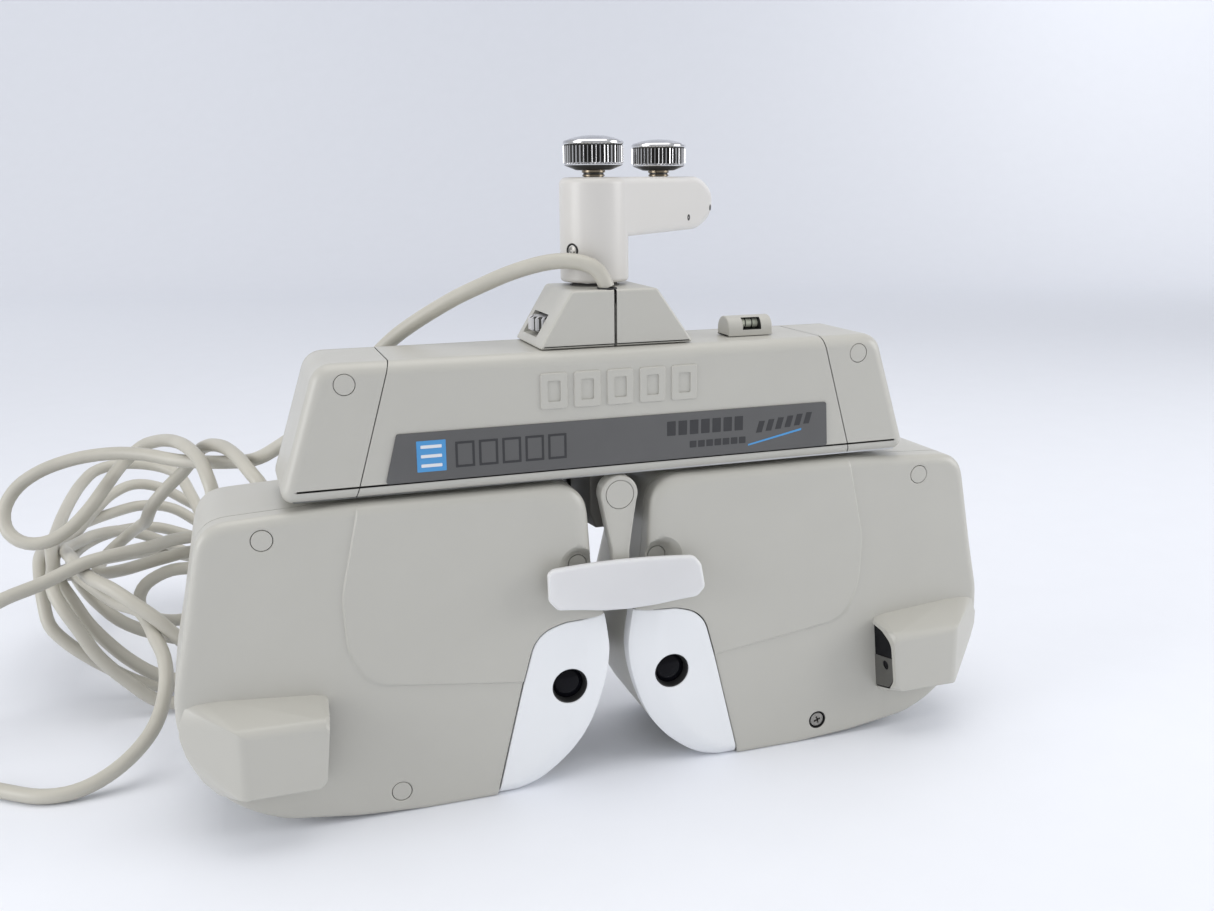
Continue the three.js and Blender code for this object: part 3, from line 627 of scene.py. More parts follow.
def head_front():
    """A head's front cover and face shield."""
    angles = (0.3, 0.6, 0.85, 1.1, 1.35, 1.571)
    lines = offset_lines(HEAD, True, [FILLET * (1 - math.cos(a)) for a in angles])
    lines += offset_lines(SEAM, False, [-0.9, -0.5, -SEAM_GAP, SEAM_GAP, 0.5, 0.9])
    lines += offset_lines(STEP[STEP[:, 0] > 52], False, [-1.5, -0.7, -0.35, 0, 0.35, 0.7, 1.5])
    for x, z, r in HOLES:
        count = 64 if r > 6 else 40
        lines += [(circle(x, z, r + wider, count), True) for wider in (0, 0.35, 0.9)]
    lines += [(circle(*NOSE_PLUG, r, 30), True) for r in (7, 9, 11, 13)]
    flat, faces = sheet(HEAD, lines, 2.4)
    middle = flat[faces].mean(1)
    solid = np.all([from_centre(middle, (x, z)) > r for x, z, r in HOLES], axis=0)
    seam = left_of(middle, SEAM)
    depth = face_depth(flat)
    cover = shell("front_cover", flat, faces[solid & (seam < -SEAM_GAP)], depth, SPLIT - COVER_GAP, 1)
    shield = shell("face_shield", flat, faces[solid & (seam > SEAM_GAP)], depth, SPLIT - COVER_GAP, 1)
    return cover, shield


def head_back():
    """A head's back cover, with the round window behind the eye."""
    edge = 14.0
    angles = (0.2, 0.4, 0.6, 0.8, 1.0, 1.2, 1.4)
    lines = offset_lines(HEAD, True, [edge * (1 - math.cos(a)) for a in angles])
    lines += [(circle(*REAR_WINDOW, r, 64), True) for r in (15.2, 15.8)]
    flat, faces = sheet(HEAD, lines, 4)
    faces = faces[from_centre(flat[faces].mean(1), REAR_WINDOW) > 15.2]
    turn = np.clip(1 - left_of(flat, closed(HEAD)) / edge, 0, 1)
    depth = BACK - edge * (1 - np.sqrt(1 - turn**2))
    return shell("back_cover", flat, faces, depth, SPLIT + COVER_GAP, -1)


def plug_disc(name, place, y, r=PLUG_R, depth=2.4):
    profile = [(0, depth), (r, depth), (r, 0.25), (r - 0.08, 0.08), (r - 0.25, 0), (0, 0)]
    return facing_back(turned(name, profile, 40), (place[0], y, place[1]))


def phillips(name, r, thickness):
    """A cross-head screw with its head's face at z = 0, looking up."""
    profile = [
        (0, -thickness), (r * 0.55, -thickness), (r, -0.35 * thickness), (r * 0.96, -0.12 * thickness),
        (r * 0.7, 0), (0, 0.05 * thickness),
    ]
    head = turned(name, profile, 40)
    arm, width = r * 0.62, r * 0.17
    deep = -0.6 * thickness
    for a, b in ((arm, width), (width, arm)):
        slot_points = [(s * a, t * b, 1) for s in (-1, 1) for t in (-1, 1)]
        slot_points += [(s * a * 0.55, t * b * 0.55, deep) for s in (-1, 1) for t in (-1, 1)]
        minus(head, wrapped("slot", slot_points))
    return head


def screws_behind(places, y, r, thickness):
    """Cross-head screws in the back of the object, at a depth."""
    return [finished(facing_back(phillips("screw", r, thickness), (x, y, z)), "screw") for x, z in places]


def open_side(y, z):
    """How far out the sight box's open side lies at a depth and a height."""
    return 137.5 + 0.05 * (2 - y) + 0.1 * (60 - z)


def across_side(ring, offset):
    """A (depth, height) ring laid on the sight box's open side, moved outwards by an offset."""
    return np.column_stack([open_side(ring[:, 0], ring[:, 1]) + offset, ring[:, 0], ring[:, 1]])


def box_section(top):
    """The sight box's section, as (depth, height) points. Its top is where it meets the head's face."""
    return rounded_line([(4.5, top, 0), (-18.1, 60.1, 5), (-18.1, 29.3, 0.8), (4.5, 20.8, 0)])


def sight_box():
    """The box on the outer part of a head's face, open towards the nose."""
    inner = rounded_line([(4.5, 62, 0), (-12, 60.4, 5), (-17.6, 56, 4), (-17.6, 31.5, 5), (4.5, 23.5, 0)])
    second = rounded_line([(4.5, 64.6, 0), (-18, 59.8, 5.5), (-18, 30.2, 3), (4.5, 22, 0)])
    points = [tuple(p) for ring, offset in ((inner, 0), (second, 1.5)) for p in across_side(ring, offset)]
    points += [(144.5, y, z) for y, z in box_section(65.8)]
    for x, front in ((172.6, 0), (175.2, 0.45), (177.2, 1.5), (178.5, 3.2), (179.2, 5)):
        points += [(x, max(y, -18.1 + front), z) for y, z in box_section(68.3) if y < -6]
    points += [(190, 4.5, 69.6), (195, 3, 68.6)]
    points += [(x, 1.2, z) for x, z in (
        (197.2, 66.5), (200, 58.5), (200, 52), (198.3, 44.5), (195.4, 37.5), (192.2, 31.2), (186.5, 24.2))]
    points += [(x, 5.2, z) for x, z in (
        (199.8, 58.5), (200.5, 52), (198.6, 43.8), (192, 29.2), (184.8, 21.4))]
    body = wrapped("sight_box", points)
    bevelled(body, 0.7, 4, 26)
    ring = rounded_line([
        (3, 60.4, 0), (-7, 58.8, 5), (-14.6, 54.4, 6), (-15.3, 34, 6), (-11.4, 28, 6), (3, 24.4, 0)])
    return minus(body, through("hollow", [across_side(ring, offset) for offset in (-12, 30)]))


def sight_insert():
    """The dark window and the sensor plate inside the sight box."""
    ring = rounded_line([
        (2.6, 60.1, 0), (-7, 58.5, 5), (-14.3, 54.1, 6), (-15, 34.2, 6), (-11.2, 28.4, 6), (2.6, 24.8, 0)])
    window = finished(through("window", [across_side(ring, offset) for offset in (0.7, 2.6)]), "glass")
    ring = rounded_line([
        (1.6, 42.8, 0.3), (-14.7, 46.1, 0.5), (-14.7, 34.5, 5.5), (-10.9, 28.9, 5.5), (1.6, 25.6, 0.5)])
    lower = through("sensor_plate", [across_side(ring, offset) for offset in (0.3, 0.9)])
    y, z = -8.5, 40.5
    x = open_side(y, z) + 0.6
    minus(lower, moved(cylinder(2.4, -3, 3, 24), (x, y, z), "Y", 90))
    lens = turned("lens", [(0, 0), (1.9, 0), (1.7, 0.3), (0, 0.5)], 24)
    lens = moved(lens, (x + 0.5, y, z), "Y", -90)
    return together("sight_window", window, finished(lower, "dark_grey"), finished(lens, "glass"))


def eyepiece():
    """The glass in the eye opening, with the dark ring that holds it."""
    outer = EYE_R - 0.15
    ring = turned("ring", [(outer, 0.6), (outer, 7), (7.3, 7), (7.3, 4), (7.7, 2.2), (8.1, 0.9)], 64)
    lens = turned("lens", [(0, 2.2), (2, 2.3), (4, 2.6), (5.8, 3.2), (7.5, 4.1), (7.5, 7.4), (0, 7.4)], 64)
    whole = together("eyepiece_glass", finished(ring, "dark"), finished(lens, "glass"))
    return facing_back(whole, (EYE[0], 0.4, EYE[1]))


def rear_window():
    bezel = turned("bezel", [(12.6, 0), (15, 0), (15, 2.2), (14.4, 2.8), (13.2, 2.8), (12.6, 1.6)], 64)
    lens = turned("lens", [(0, 0.8), (12.8, 0.8), (12.8, 1.4), (6, 2.0), (0, 2.2)], 64)
    whole = together("rear_window", finished(bezel, "dark"), finished(lens, "glass"))
    return facing_back(whole, (REAR_WINDOW[0], BACK - 2.9, REAR_WINDOW[1]))


def head_pieces():
    """The pieces that both heads have: name, shape and material slot."""
    cover, shield = head_front()
    back = head_back()
    upper = plug_disc("plug", UPPER_PLUG, LEVEL + 0.02)
    nose = plug_disc("plug", NOSE_PLUG, NOSE_DEPTH, 4.3)
    return [
        ("front_cover", finished(cover, "plastic"), "housing_grey"),
        ("face_shield", finished(shield, "shield"), "shield_white"),
        ("back_cover", finished(back, "plastic"), "housing_grey"),
        ("head_upper_plug", finished(upper, "plastic"), "housing_grey"),
        ("sight_box", finished(sight_box(), "plastic"), "housing_grey"),
        ("sight_window", sight_insert(), "window_dark"),
        ("eyepiece_glass", eyepiece(), "window_dark"),
        ("rear_window", rear_window(), "window_dark"),
        ("nose_plug", finished(nose, "plastic"), "housing_grey"),
        ("rear_screws", together("screws", *screws_behind(REAR_SCREWS, BACK + 0.3, 3.4, 2.2)), "shaft_steel"),
    ]


def lower_screw():
    """The recessed screw low on the right head, in a dark cup that paints the shade inside its hole."""
    x, z = LOWER_PLUG
    screw = moved(phillips("screw", 3.7, 2.6), axis="Z", angle=20)
    screw = finished(moved(screw, (x, LEVEL + 0.5, z), "X", 90), "screw")
    # Painted shade: a dark cup behind the hole stands in for the shade inside it.
    well = turned("well", [(4.7, 0.6), (4.7, 5), (0, 5), (0, 4.6), (4.3, 4.6), (4.3, 0.6)], 40)
    return together("right_head_lower_plug_shape", screw, finished(facing_back(well, (x, 0.7, z)), "dark"))


def heads():
    for piece, obj, slot in head_pieces():
        left = mirrored(copied(obj, f"left_{piece}_shape"))
        obj.name = f"right_{piece}_shape"
        for side, each in (("left", left), ("right", obj)):
            node = f"{side}_{piece}"
            shown(each, f"{side}_head", [node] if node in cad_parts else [])
    left_plug = plug_disc("left_head_lower_plug_shape", (-LOWER_PLUG[0], LOWER_PLUG[1]), LEVEL + 0.3)
    shown(finished(left_plug, "plastic"), "left_head", ["left_head_lower_plug"])
    shown(lower_screw(), "right_head", ["right_head_lower_plug"])


# ---- housing ----

HOUSING_LOW, HOUSING_HIGH = 151.3, 210.3
HOUSING = even_ring(rounded_line([
    (-152.5, HOUSING_LOW, 5), (152.5, HOUSING_LOW, 5),
    (133.7, HOUSING_HIGH, 10), (-133.7, HOUSING_HIGH, 10),
]), 2.0)
FRONT, REAR = 0.8, 52.0
SEAM_LOW, SEAM_HIGH = 119.8, 103.0    # how far out a slanted seam lies at the housing's foot and at its top
HOUSING_PLUG = (122.1, 201.6)


def housing_part(name, y0, y1, front, back, open_back):
    """A hollow length of the housing's section."""
    outer = plate(name, HOUSING, y0, y1, front, back, 8)
    inner = HOUSING + normals(HOUSING, True) * 2.5
    if open_back:
        return minus(outer, plate("inner", inner, y0 + 2.5, y1 + 4, max(front - 2.5, 0)))
    return outer


def seam_plane(side, gap):
    """A point on a slanted seam and the direction that looks outwards across it."""
    slope = Vector((HOUSING_HIGH - HOUSING_LOW, 0, SEAM_LOW - SEAM_HIGH)).normalized()
    way = Vector((side * slope.x, 0, slope.z))
    return Vector((side * SEAM_LOW, 0, HOUSING_LOW)) + way * gap, way


def housing_end(shell_part, name, side):
    """An end cover and its plug."""
    point, way = seam_plane(side, 0.22)
    end = parted(copied(shell_part, f"housing_{name}_end_shape"), point, -way)
    place = (side * HOUSING_PLUG[0], HOUSING_PLUG[1])
    minus(end, facing_back(cylinder(4.7, -4, 1.2, 40), (place[0], FRONT, place[1])))
    shown(finished(end, "plastic"), "housing", [f"housing_{name}_end"])
    plug = plug_disc(f"{name}_housing_plug_shape", place, FRONT + 0.02, 4.4, 1.0)
    shown(finished(plug, "plastic"), "housing", [f"{name}_housing_plug"])


def housing():
    shell_part = housing_part("housing_front", FRONT, 47.0, 6.0, 0, True)
    middle = copied(shell_part, "housing_front_cover_shape")
    for name, side in (("left", -1), ("right", 1)):
        parted(middle, *seam_plane(side, -0.22))
        housing_end(shell_part, name, side)
    bpy.data.objects.remove(shell_part)
    blocks = [raised_block(x) for x in (-31.2, -15.6, 0, 15.6, 31.2)]
    middle = together("housing_front_cover_shape", middle, *blocks)
    shown(finished(middle, "plastic"), "housing", ["housing_front_cover"])
    rear = finished(housing_part("housing_back_cover_shape", 47.4, REAR, 0, 3.5, False), "plastic")
    screws = screws_behind([(x, z) for x in (-128, 128) for z in (163, 198)], REAR + 0.25, 3.2, 2)
    rear = together("housing_back_cover_shape", rear, *screws)
    shown(rear, "housing", ["housing_back_cover"])


def raised_block(x):
    """A plain raised tile on the front of the housing."""
    tile = plate("tile", rectangle(x - 6.2, x + 6.2, 185, 201.2, 1.2), 0.05, 1.6, 0.5, 0, 3)
    return minus(tile, plate("inner", rectangle(x - 3, x + 3, 188.4, 197.8, 0.8), -1, 0.7))


def bar(x0, x1, z0, z1, y0=0.04, y1=0.2):
    return plate("bar", rectangle(x0, x1, z0, z1, 0.3), y0, y1)


def printed(ring):
    return plate("mark", ring, 0.04, 0.2)


def label():
    """The name plate, with plain marks in the places of its printing."""
    ring = rounded_line([
        (-107.2, 157.2, 1.2), (106.4, 157.2, 1.2), (105.2, 178.9, 1.2), (-101.6, 178.9, 1.2)])
    base = plate("plate", ring, 0.1, 0.85, 0.15, 0, 2)
    stripes = [bar(-91.6, -82.4, z, z + 1.4, 0.0, 0.1) for z in (163.4, 167.6, 171.8)]
    frames = [minus(bar(x, x + 8.6, 162.2, 173.8), bar(x + 1.1, x + 7.5, 163.3, 172.7, -1, 1))
              for x in np.arange(5) * 10.5 - 76.5]
    ink = [bar(22.6 + 5.7 * i, 26.9 + 5.7 * i, 168.4, 175.2) for i in range(7)]
    ink += [bar(34 + 4.2 * i, 37.4 + 4.2 * i, 162.0, 165.2) for i in range(7)]
    for i in range(6):
        x, z = 68 + 5 * i, 166.5 + 0.5 * i
        slant = [(x, z, 0), (x + 3, z, 0), (x + 4.6, z + 5.5, 0), (x + 1.6, z + 5.5, 0)]
        ink.append(printed(rounded_line(slant)))
    line = printed(rounded_line([(64, 160.5, 0), (92, 166, 0), (92, 167, 0), (64, 161.3, 0)]))
    whole = [finished(base, "label"), finished(bar(-93.4, -80.6, 161.4, 175.2), "label_blue")]
    whole += [finished(stripe, "label_white") for stripe in stripes]
    whole += [finished(mark, "label_ink") for mark in frames + ink]
    whole.append(finished(line, "label_blue"))
    shown(together("label_plate_shape", *whole), "housing", ["label_plate"])


def base_plate():
    obj = copied(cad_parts["housing_base_plate"], "housing_base_plate_shape")
    obj.data.transform(TO_ROW.inverted())
    with edited(obj) as bm:
        bmesh.ops.remove_doubles(bm, verts=bm.verts, dist=SAME_PLACE)
        bmesh.ops.dissolve_limit(bm, angle_limit=math.radians(1), verts=bm.verts, edges=bm.edges)
    bevelled(obj, 0.4, 2)
    shown(finished(obj, "aluminium"), "housing", ["housing_base_plate"])


VIAL = (72.9, 23, 216.0)


def vial():
    """The spirit level: a half-round mount with a window on top, and the vial inside it."""
    ring = rounded_line([(-6.4, 210.6, 0.3), (6.4, 210.6, 0.3), (6.4, 219.9, 6), (-6.4, 219.9, 6)])
    body = moved(plate("level_vial_mount_shape", ring, -83.6, -60.4, 0.7, 0.7, 4), (0, VIAL[1], 0), "Z", 90)
    minus(body, block("window", (68.0, 14, 213.5), (77.6, 25.2, 219.1)))
    # Painted shade: the faces lining the window are coloured dark.
    two_toned(body, "plastic", "dark", in_painted_window_shade)
    profile = [(0, -9), (1.9, -9), (2.3, -8.4), (2.3, 8.4), (1.9, 9), (0, 9)]
    tube = finished(moved(turned("tube", profile, 32), VIAL, "Y", 90), "vial")
    mark = [(2.3, -0.25), (2.42, -0.25), (2.42, 0.25), (2.3, 0.25)]
    rings = [moved(turned("mark", mark, 32), (x, *VIAL[1:]), "Y", 90) for x in (71.2, 74.6)]
    marks = [finished(ring, "dark") for ring in rings]
    shown(body, "housing", ["level_vial_mount"])
    shown(together("level_vial_shape", tube, *marks), "housing", ["level_vial"])


def in_painted_window_shade(middle):
    """Whether a face of the level's mount lines the window; these faces get painted shade."""
    is_across = 67.9 < middle.x < 77.7 and middle.z > 213.4
    return is_across and math.hypot(middle.y - VIAL[1], middle.z - 213.9) < 5.85


# ---- tower ----

TOWER = even_ring(rounded_line([
    (-35.8, 210.7, 0.8), (38.2, 210.7, 0.8), (20.3, 236.2, 2.5), (-20.3, 236.2, 2.5),
]), 0.8)
AXIS_Y = 36.5         # depth of the axis that the arm swivels about
ARM_AXIS = (0, AXIS_Y, 0)
GLAND = (-2.3, 11.5)
TOWER_SEAM = 0.65     # half the gap between the tower's halves


def tower():
    """The cover under the column in two halves, open for the post, the cable and the level wheel."""
    whole = plate("tower", TOWER, 6.3, 50, 1.3, 1.3, 6)
    inner = TOWER + normals(TOWER, True) * 2.4
    inner[:, 1] = np.where(inner[:, 1] < 220, inner[:, 1] - 6, inner[:, 1])
    minus(
        whole,
        plate("inner", inner, 8.8, 47.5),
        cylinder(11.7, -6, 6, 64, (0, AXIS_Y, 236)),
        cylinder(4.6, -6, 6, 40, (*GLAND, 236)),
        plate("slot", rectangle(-50, -20, 214.6, 224.6, 0), 20.5, 43.5),
    )
    for side, way in (("left", 1), ("right", -1)):
        edge = Vector((-way * TOWER_SEAM, 0, 0))
        half = parted(copied(whole, f"tower_{side}_cover_shape"), edge, Vector((way, 0, 0)))
        shown(finished(half, "plastic"), "housing", [f"tower_{side}_cover"])
    bpy.data.objects.remove(whole)
    ring = turned("gland", [(3.75, -2), (4.5, -2), (4.5, 0.5), (4.3, 0.7), (3.95, 0.7), (3.75, 0.5)], 48)
    shown(finished(moved(ring, (*GLAND, 236.2)), "dark"), "housing", ["cable_gland"])


def thumbwheel():
    profile = [(0, -3.4), (10.0, -3.4), (11.3, -2.6), (11.3, 2.6), (10.0, 3.4), (0, 3.4)]
    wheel = turned("level_thumbwheel_shape", profile, 288, 18, 1.6, (-3.4, 3.4))
    # Painted shade: the flute bottoms between the teeth are coloured dark.
    two_toned(wheel, "wheel", "groove", in_painted_shade_between_teeth)
    shown(moved(wheel, (-22.3, 32, 219.6)), "thumbwheel", ["level_thumbwheel"])


def in_painted_shade_between_teeth(middle):
    """Whether a face of the level's thumbwheel lies at the bottom of a flute, where painted shade goes."""
    return math.hypot(middle.x, middle.y) < 10.1 and abs(middle.z) < 3.2


# ---- joint arm and clamp knobs ----

ARM_LOW, ARM_HIGH = 258.1, 285.3
ARM_REACH, ARM_HALF = 126.2, 15.0
ARM_NOSE = 19         # length over which the arm's end is rounded off
KNOB_AT = 74.2


def along_arm(distance):
    """Where the arm's middle line is, this far from its swivel."""
    turn = math.radians(45)
    return distance * math.sin(turn), AXIS_Y + distance * math.cos(turn)


def arm_section(distance):
    """A rounded rectangle across the arm, drawn in as the arm's end comes near."""
    end = np.clip((distance - (ARM_REACH - ARM_NOSE)) / ARM_NOSE, 0, 0.9999)
    draw = math.sqrt(1 - end**2)
    half = max((ARM_HALF + 0.9 * (1 - float(ramp(distance, 6, 88)))) * draw, 0.3)
    high = ARM_HIGH - 12 * (1 - draw)
    low = ARM_LOW + 11 * (1 - draw)
    corner = 3.5 + 8.5 * float(ramp(distance, ARM_REACH - 36, ARM_REACH - 12))
    ring = rectangle(-half, half, low, high, min(corner, half * 0.85, (high - low) * 0.45))
    return np.column_stack([ring[:, 0], np.full(len(ring), distance), ring[:, 1]])


def beam():
    """The level part of the arm, from inside the column to its rounded end."""
    stops = [0.5, *np.linspace(ARM_REACH - 2 * ARM_NOSE, ARM_REACH - ARM_NOSE, 9)]
    stops += [ARM_REACH - ARM_NOSE * (1 - math.sin(a)) for a in np.linspace(0.1, 1.57, 20)]
    obj = through("beam", [arm_section(d) for d in stops])
    return moved(obj, ARM_AXIS, "Z", -45)


def arm():
    """The cast joint arm: a column on the post and a level beam out to the stand-pin socket."""
    quarter = math.pi / 2
    top = [(16 - 3.2 * (1 - math.cos(a)), 282.1 + 3.2 * math.sin(a)) for a in np.linspace(0, quarter, 7)]
    foot = [(16 - 1.8 * (1 - math.sin(a)), 237.8 + 1.8 * (1 - math.cos(a)))
            for a in np.linspace(0, quarter, 6)]
    body = turned("joint_arm_shape", [(0, 237.8), *foot, *top, (0, 285.3)], 128)
    combined(moved(body, ARM_AXIS), beam(), "UNION")
    minus(
        body,
        cylinder(7.1, 230, 269, 48, ARM_AXIS),
        cylinder(8, 250, 276, 48, (*along_arm(110), 0)),
        cylinder(4.8, 269, 300, 48, ARM_AXIS),
        cylinder(4.8, 271, 300, 48, (*along_arm(KNOB_AT), 0)),
    )
    screws = [set_screw(*place) for place in arm_set_screws()]
    whole = together("joint_arm_shape", finished(body, "paint"), *screws)
    shown(whole, "arm", ["joint_arm"], 40)


def level_way(angle):
    """The level direction at an angle from straight back, towards the right."""
    return Vector((math.sin(angle), math.cos(angle), 0))


def arm_set_screws():
    """Where the two grub screws in the arm's side sit: position and outward direction."""
    square = level_way(math.radians(135))
    near = Vector((*along_arm(79), 264.6)) + square * ARM_HALF
    far = Vector((*along_arm(110.4), 268.9)) + square * (ARM_HALF - 0.4)
    return [(near, square), (far, level_way(math.radians(124)))]


def set_screw(location, way):
    profile = [(0, -1), (1.6, -1), (1.6, 0.25), (1.3, 0.35), (0.7, 0.3), (0.5, -0.3), (0, -0.3)]
    return finished(pointed(turned("set_screw", profile, 24), location, way), "dark")


def clamp_screw():
    # Painted shade: a flat dark ring round the screw head stands in for the shaded gap of its hole.
    ring = turned("ring", [(2.3, -1), (3.3, -1), (3.3, 0.05), (3.1, 0.15), (2.3, -0.1)], 40)
    screw = finished(phillips("screw", 2.45, 3), "screw")
    obj = together("column_clamp_screw_shape", screw, finished(ring, "dark"))
    way = Vector((math.sin(-1.0), -math.cos(-1.0), 0))
    pointed(obj, Vector((0, AXIS_Y, 252.6)) + way * 16.05, way)
    shown(obj, "arm", ["column_clamp_screw"])


def knob(name, stem_bottom, x, y, body):
    """A clamp knob with a fluted grip over a chamfered foot, on a turned stem."""
    rim = [(0, 288.3), (7.5, 288.3), (8.2, 288.5), (12.6, 290.2), (13.4, 290.6), (13.5, 291.0)]
    grip = [(13.0, 291.3), (13.9, 291.7), (13.9, 292.4), (13.9, 296), (13.9, 299.3)]
    top = [
        (13.3, 299.7), (13.4, 299.9), (13.9, 300.4), (13.9, 301.1), (13.2, 301.8), (12.3, 302.0),
        (11.9, 302.1), (9.5, 302.9), (5.5, 303.7), (0, 304),
    ]
    head = turned("head", rim + grip + top, 384, 44, 1.15, (291.5, 299.4))
    # Painted shade and dark reflection: the flute valleys, the underside of the foot and the band under the
    # top edge are coloured dark.
    two_toned(head, "chrome", "groove", lambda middle: in_painted_knob_shade(math.hypot(middle.x, middle.y), middle.z))
    stem = turned("stem", [
        (0, stem_bottom), (4.6, stem_bottom), (4.6, 285.5), (5.2, 285.7), (5.2, 286.3), (4.7, 286.5),
        (4.7, 287.2), (5.4, 287.4), (5.4, 288.6), (0, 288.6),
    ])
    # Painted shade: the neck groove in the stem is coloured dark.
    two_toned(stem, "brass", "groove", lambda middle: 286.4 < middle.z < 287.3)
    shown(moved(together(f"{name}_shape", head, stem), (x, y, 0)), body, [name])


def in_painted_knob_shade(r, z):
    """Whether a face of a clamp knob lies deep between its flutes, under its rim or under its top edge: these
    faces get painted shade and painted dark reflection.
    """
    return (291.6 < z < 299.4 and r < 13.42) or (8 < r and z < 290.5) or (299.4 < z < 299.9 and r > 13)


def post():
    """The tilt post, its collar under the arm and the pin it rocks on."""
    profile = [(0, 215), (7, 215), (7, 267), (6.2, 268), (0, 268)]
    stem = moved(turned("stem", profile), ARM_AXIS)
    collar = turned("collar", [(7, 232), (10.8, 232), (10.8, 236.5), (10.4, 236.9), (7, 236.9)], 64)
    moved(collar, ARM_AXIS)
    pin = turned("pin", [(0, 17), (2.7, 17), (3, 17.4), (3, 46.7), (2.7, 47.1), (0, 47.1)], 32)
    combined(stem, facing_back(pin, (0, 0, 221)), "UNION")
    whole = together("tilt_post_shape", finished(stem, "steel"), finished(collar, "dark_grey"))
    shown(whole, "post", ["tilt_post"])


# ---- forehead rest ----

REST_Z = 142.1
ROD_PLACE = (0, 0, 142)


def rest_arm():
    """The arm that carries the pad: a round cap that narrows to a blade."""
    turns = np.linspace(math.radians(-20), math.radians(200), 44)
    cap = [(9 * math.cos(a), REST_Z + 9 * math.sin(a)) for a in turns]
    blade = [(-4.3, 116), (-3.9, 111), (-3.9, 96), (3.9, 96), (3.9, 111), (4.3, 116)]
    ring = even_ring(np.array(cap + blade), 0.8)
    face = 2 - 3.5 * ramp(ring[:, 1], 140, 92)
    inward = normals(ring, True)
    rings = []
    for turn in np.linspace(0, math.pi / 2, 6):
        drawn = ring + inward * 1.0 * (1 - math.sin(turn))
        rings.append(np.column_stack([drawn[:, 0], face + 1.0 * (1 - math.cos(turn)), drawn[:, 1]]))
    rings.append(np.column_stack([ring[:, 0], face + 8 - 3.5 * ramp(ring[:, 1], 140, 92), ring[:, 1]]))
    body = through("rest_arm", rings)
    groove = [(6.6, -3), (6.95, -3), (6.95, 0.7), (6.6, 0.7)]
    minus(body, facing_back(turned("groove", groove, 64), (0, 2, REST_Z)))
    rod = facing_back(turned("rod", [(0, 8), (4, 8), (4, 63.4), (3.4, 64), (0, 64)], 40), ROD_PLACE)
    whole = together("forehead_arm_shape", finished(body, "plastic"), finished(rod, "steel"))
    shown(whole, "forehead_rest", ["forehead_arm"])


def rest_pad():
    """The soft forehead pad, bowed back at its ends."""
    ring = even_ring(rounded_line([
        (-38.4, 98.4, 4), (-34, 93.2, 5), (-9.8, 88.7, 20), (1.7, 87.9, 20), (15.5, 88.6, 20),
        (34.8, 91.6, 4), (38.5, 96.2, 4), (36.6, 107.7, 5), (33.2, 112.0, 4), (-3.2, 112.7, 0),
        (-36, 113.2, 3), (-38.7, 111.6, 2),
    ]), 0.8)
    pad = plate("forehead_pad_shape", ring, 0, 3.8, 1.7, 1.7, 7)
    with edited(pad) as bm:
        for x in np.arange(-36, 37, 2.0):
            bmesh.ops.bisect_plane(bm, geom=everything(bm), plane_co=(x, 0, 0), plane_no=(1, 0, 0))
        for v in bm.verts:
            v.co.y -= 5.8 + 5.2 * (v.co.x / 38.5) ** 2
    shown(finished(pad, "pad"), "forehead_rest", ["forehead_pad"])


def rest_guide():
    """The block under the housing that the forehead rest slides in."""
    corners = [
        (9.6, 18, 151), (9.6, 50, 151), (9.6, 18, 130), (9.6, 50, 122), (6.4, 18, 122), (6.4, 48, 119)]
    body = wrapped("forehead_guide_shape", corners + [(-x, y, z) for x, y, z in corners])
    bevelled(body, 1.0, 3)
    minus(body, facing_back(cylinder(4.2, 10, 60, 40), ROD_PLACE))
    shown(finished(body, "bracket"), "housing", ["forehead_guide"])


def rest_knob():
    profile = [
        (4.1, 50.4), (10.4, 50.4), (12, 51.2), (12.4, 52.2), (12.4, 60), (12, 61), (10.8, 62), (4.1, 62)]
    grip = facing_back(turned("forehead_knob_shape", profile, 288, 36, 0.6, (52.1, 60.1)), ROD_PLACE)
    shown(finished(grip, "dark"), "forehead_knob", ["forehead_knob"])


def connector():
    """The plug on the cable's far end, with eight pins."""
    profile = [
        (0, 0), (3.7, 0), (4.6, 0), (4.6, 6), (5.2, 7), (4.9, 8.5), (5.5, 9.5), (5.2, 11), (6, 12),
        (9.3, 14), (9.3, 38), (8, 39), (8, 42), (6.8, 42), (6.8, 36), (0, 36),
    ]
    body = moved(turned("body", profile, 240, 30, 0.5, (15, 37)), axis="Y", angle=90)
    pins = []
    for a in np.arange(8) * math.pi / 4:
        pin = turned("pin", [(0, 36), (0.6, 36), (0.6, 40.4), (0, 41)], 16)
        pins.append(finished(moved(pin, (0, 4.2 * math.cos(a), 4.2 * math.sin(a)), "Y", 90), "brass"))
    whole = together("cable_connector_shape", finished(body, "dark"), *pins)
    return shown(moved(whole, (-48, 151.5, 9.5)), "housing", ["cable_connector"])


def mechanism():
    """Finishes for the inner parts that show through the openings."""
    finishes = {
        "chassis_plate": "aluminium", "carriage": "aluminium", "disc_axle": "steel",
        "sphere_lens_disc": "dark", "cylinder_lens_disc": "dark_grey", "guide_rod": "steel",
        "pd_leadscrew": "steel", "pd_motor": "dark", "tilt_bracket": "aluminium",
    }
    for name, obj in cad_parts.items():
        plain = name.replace("left_", "").replace("right_", "")
        finished(obj, finishes.get(plain, "plastic"))


# ---- stage ----


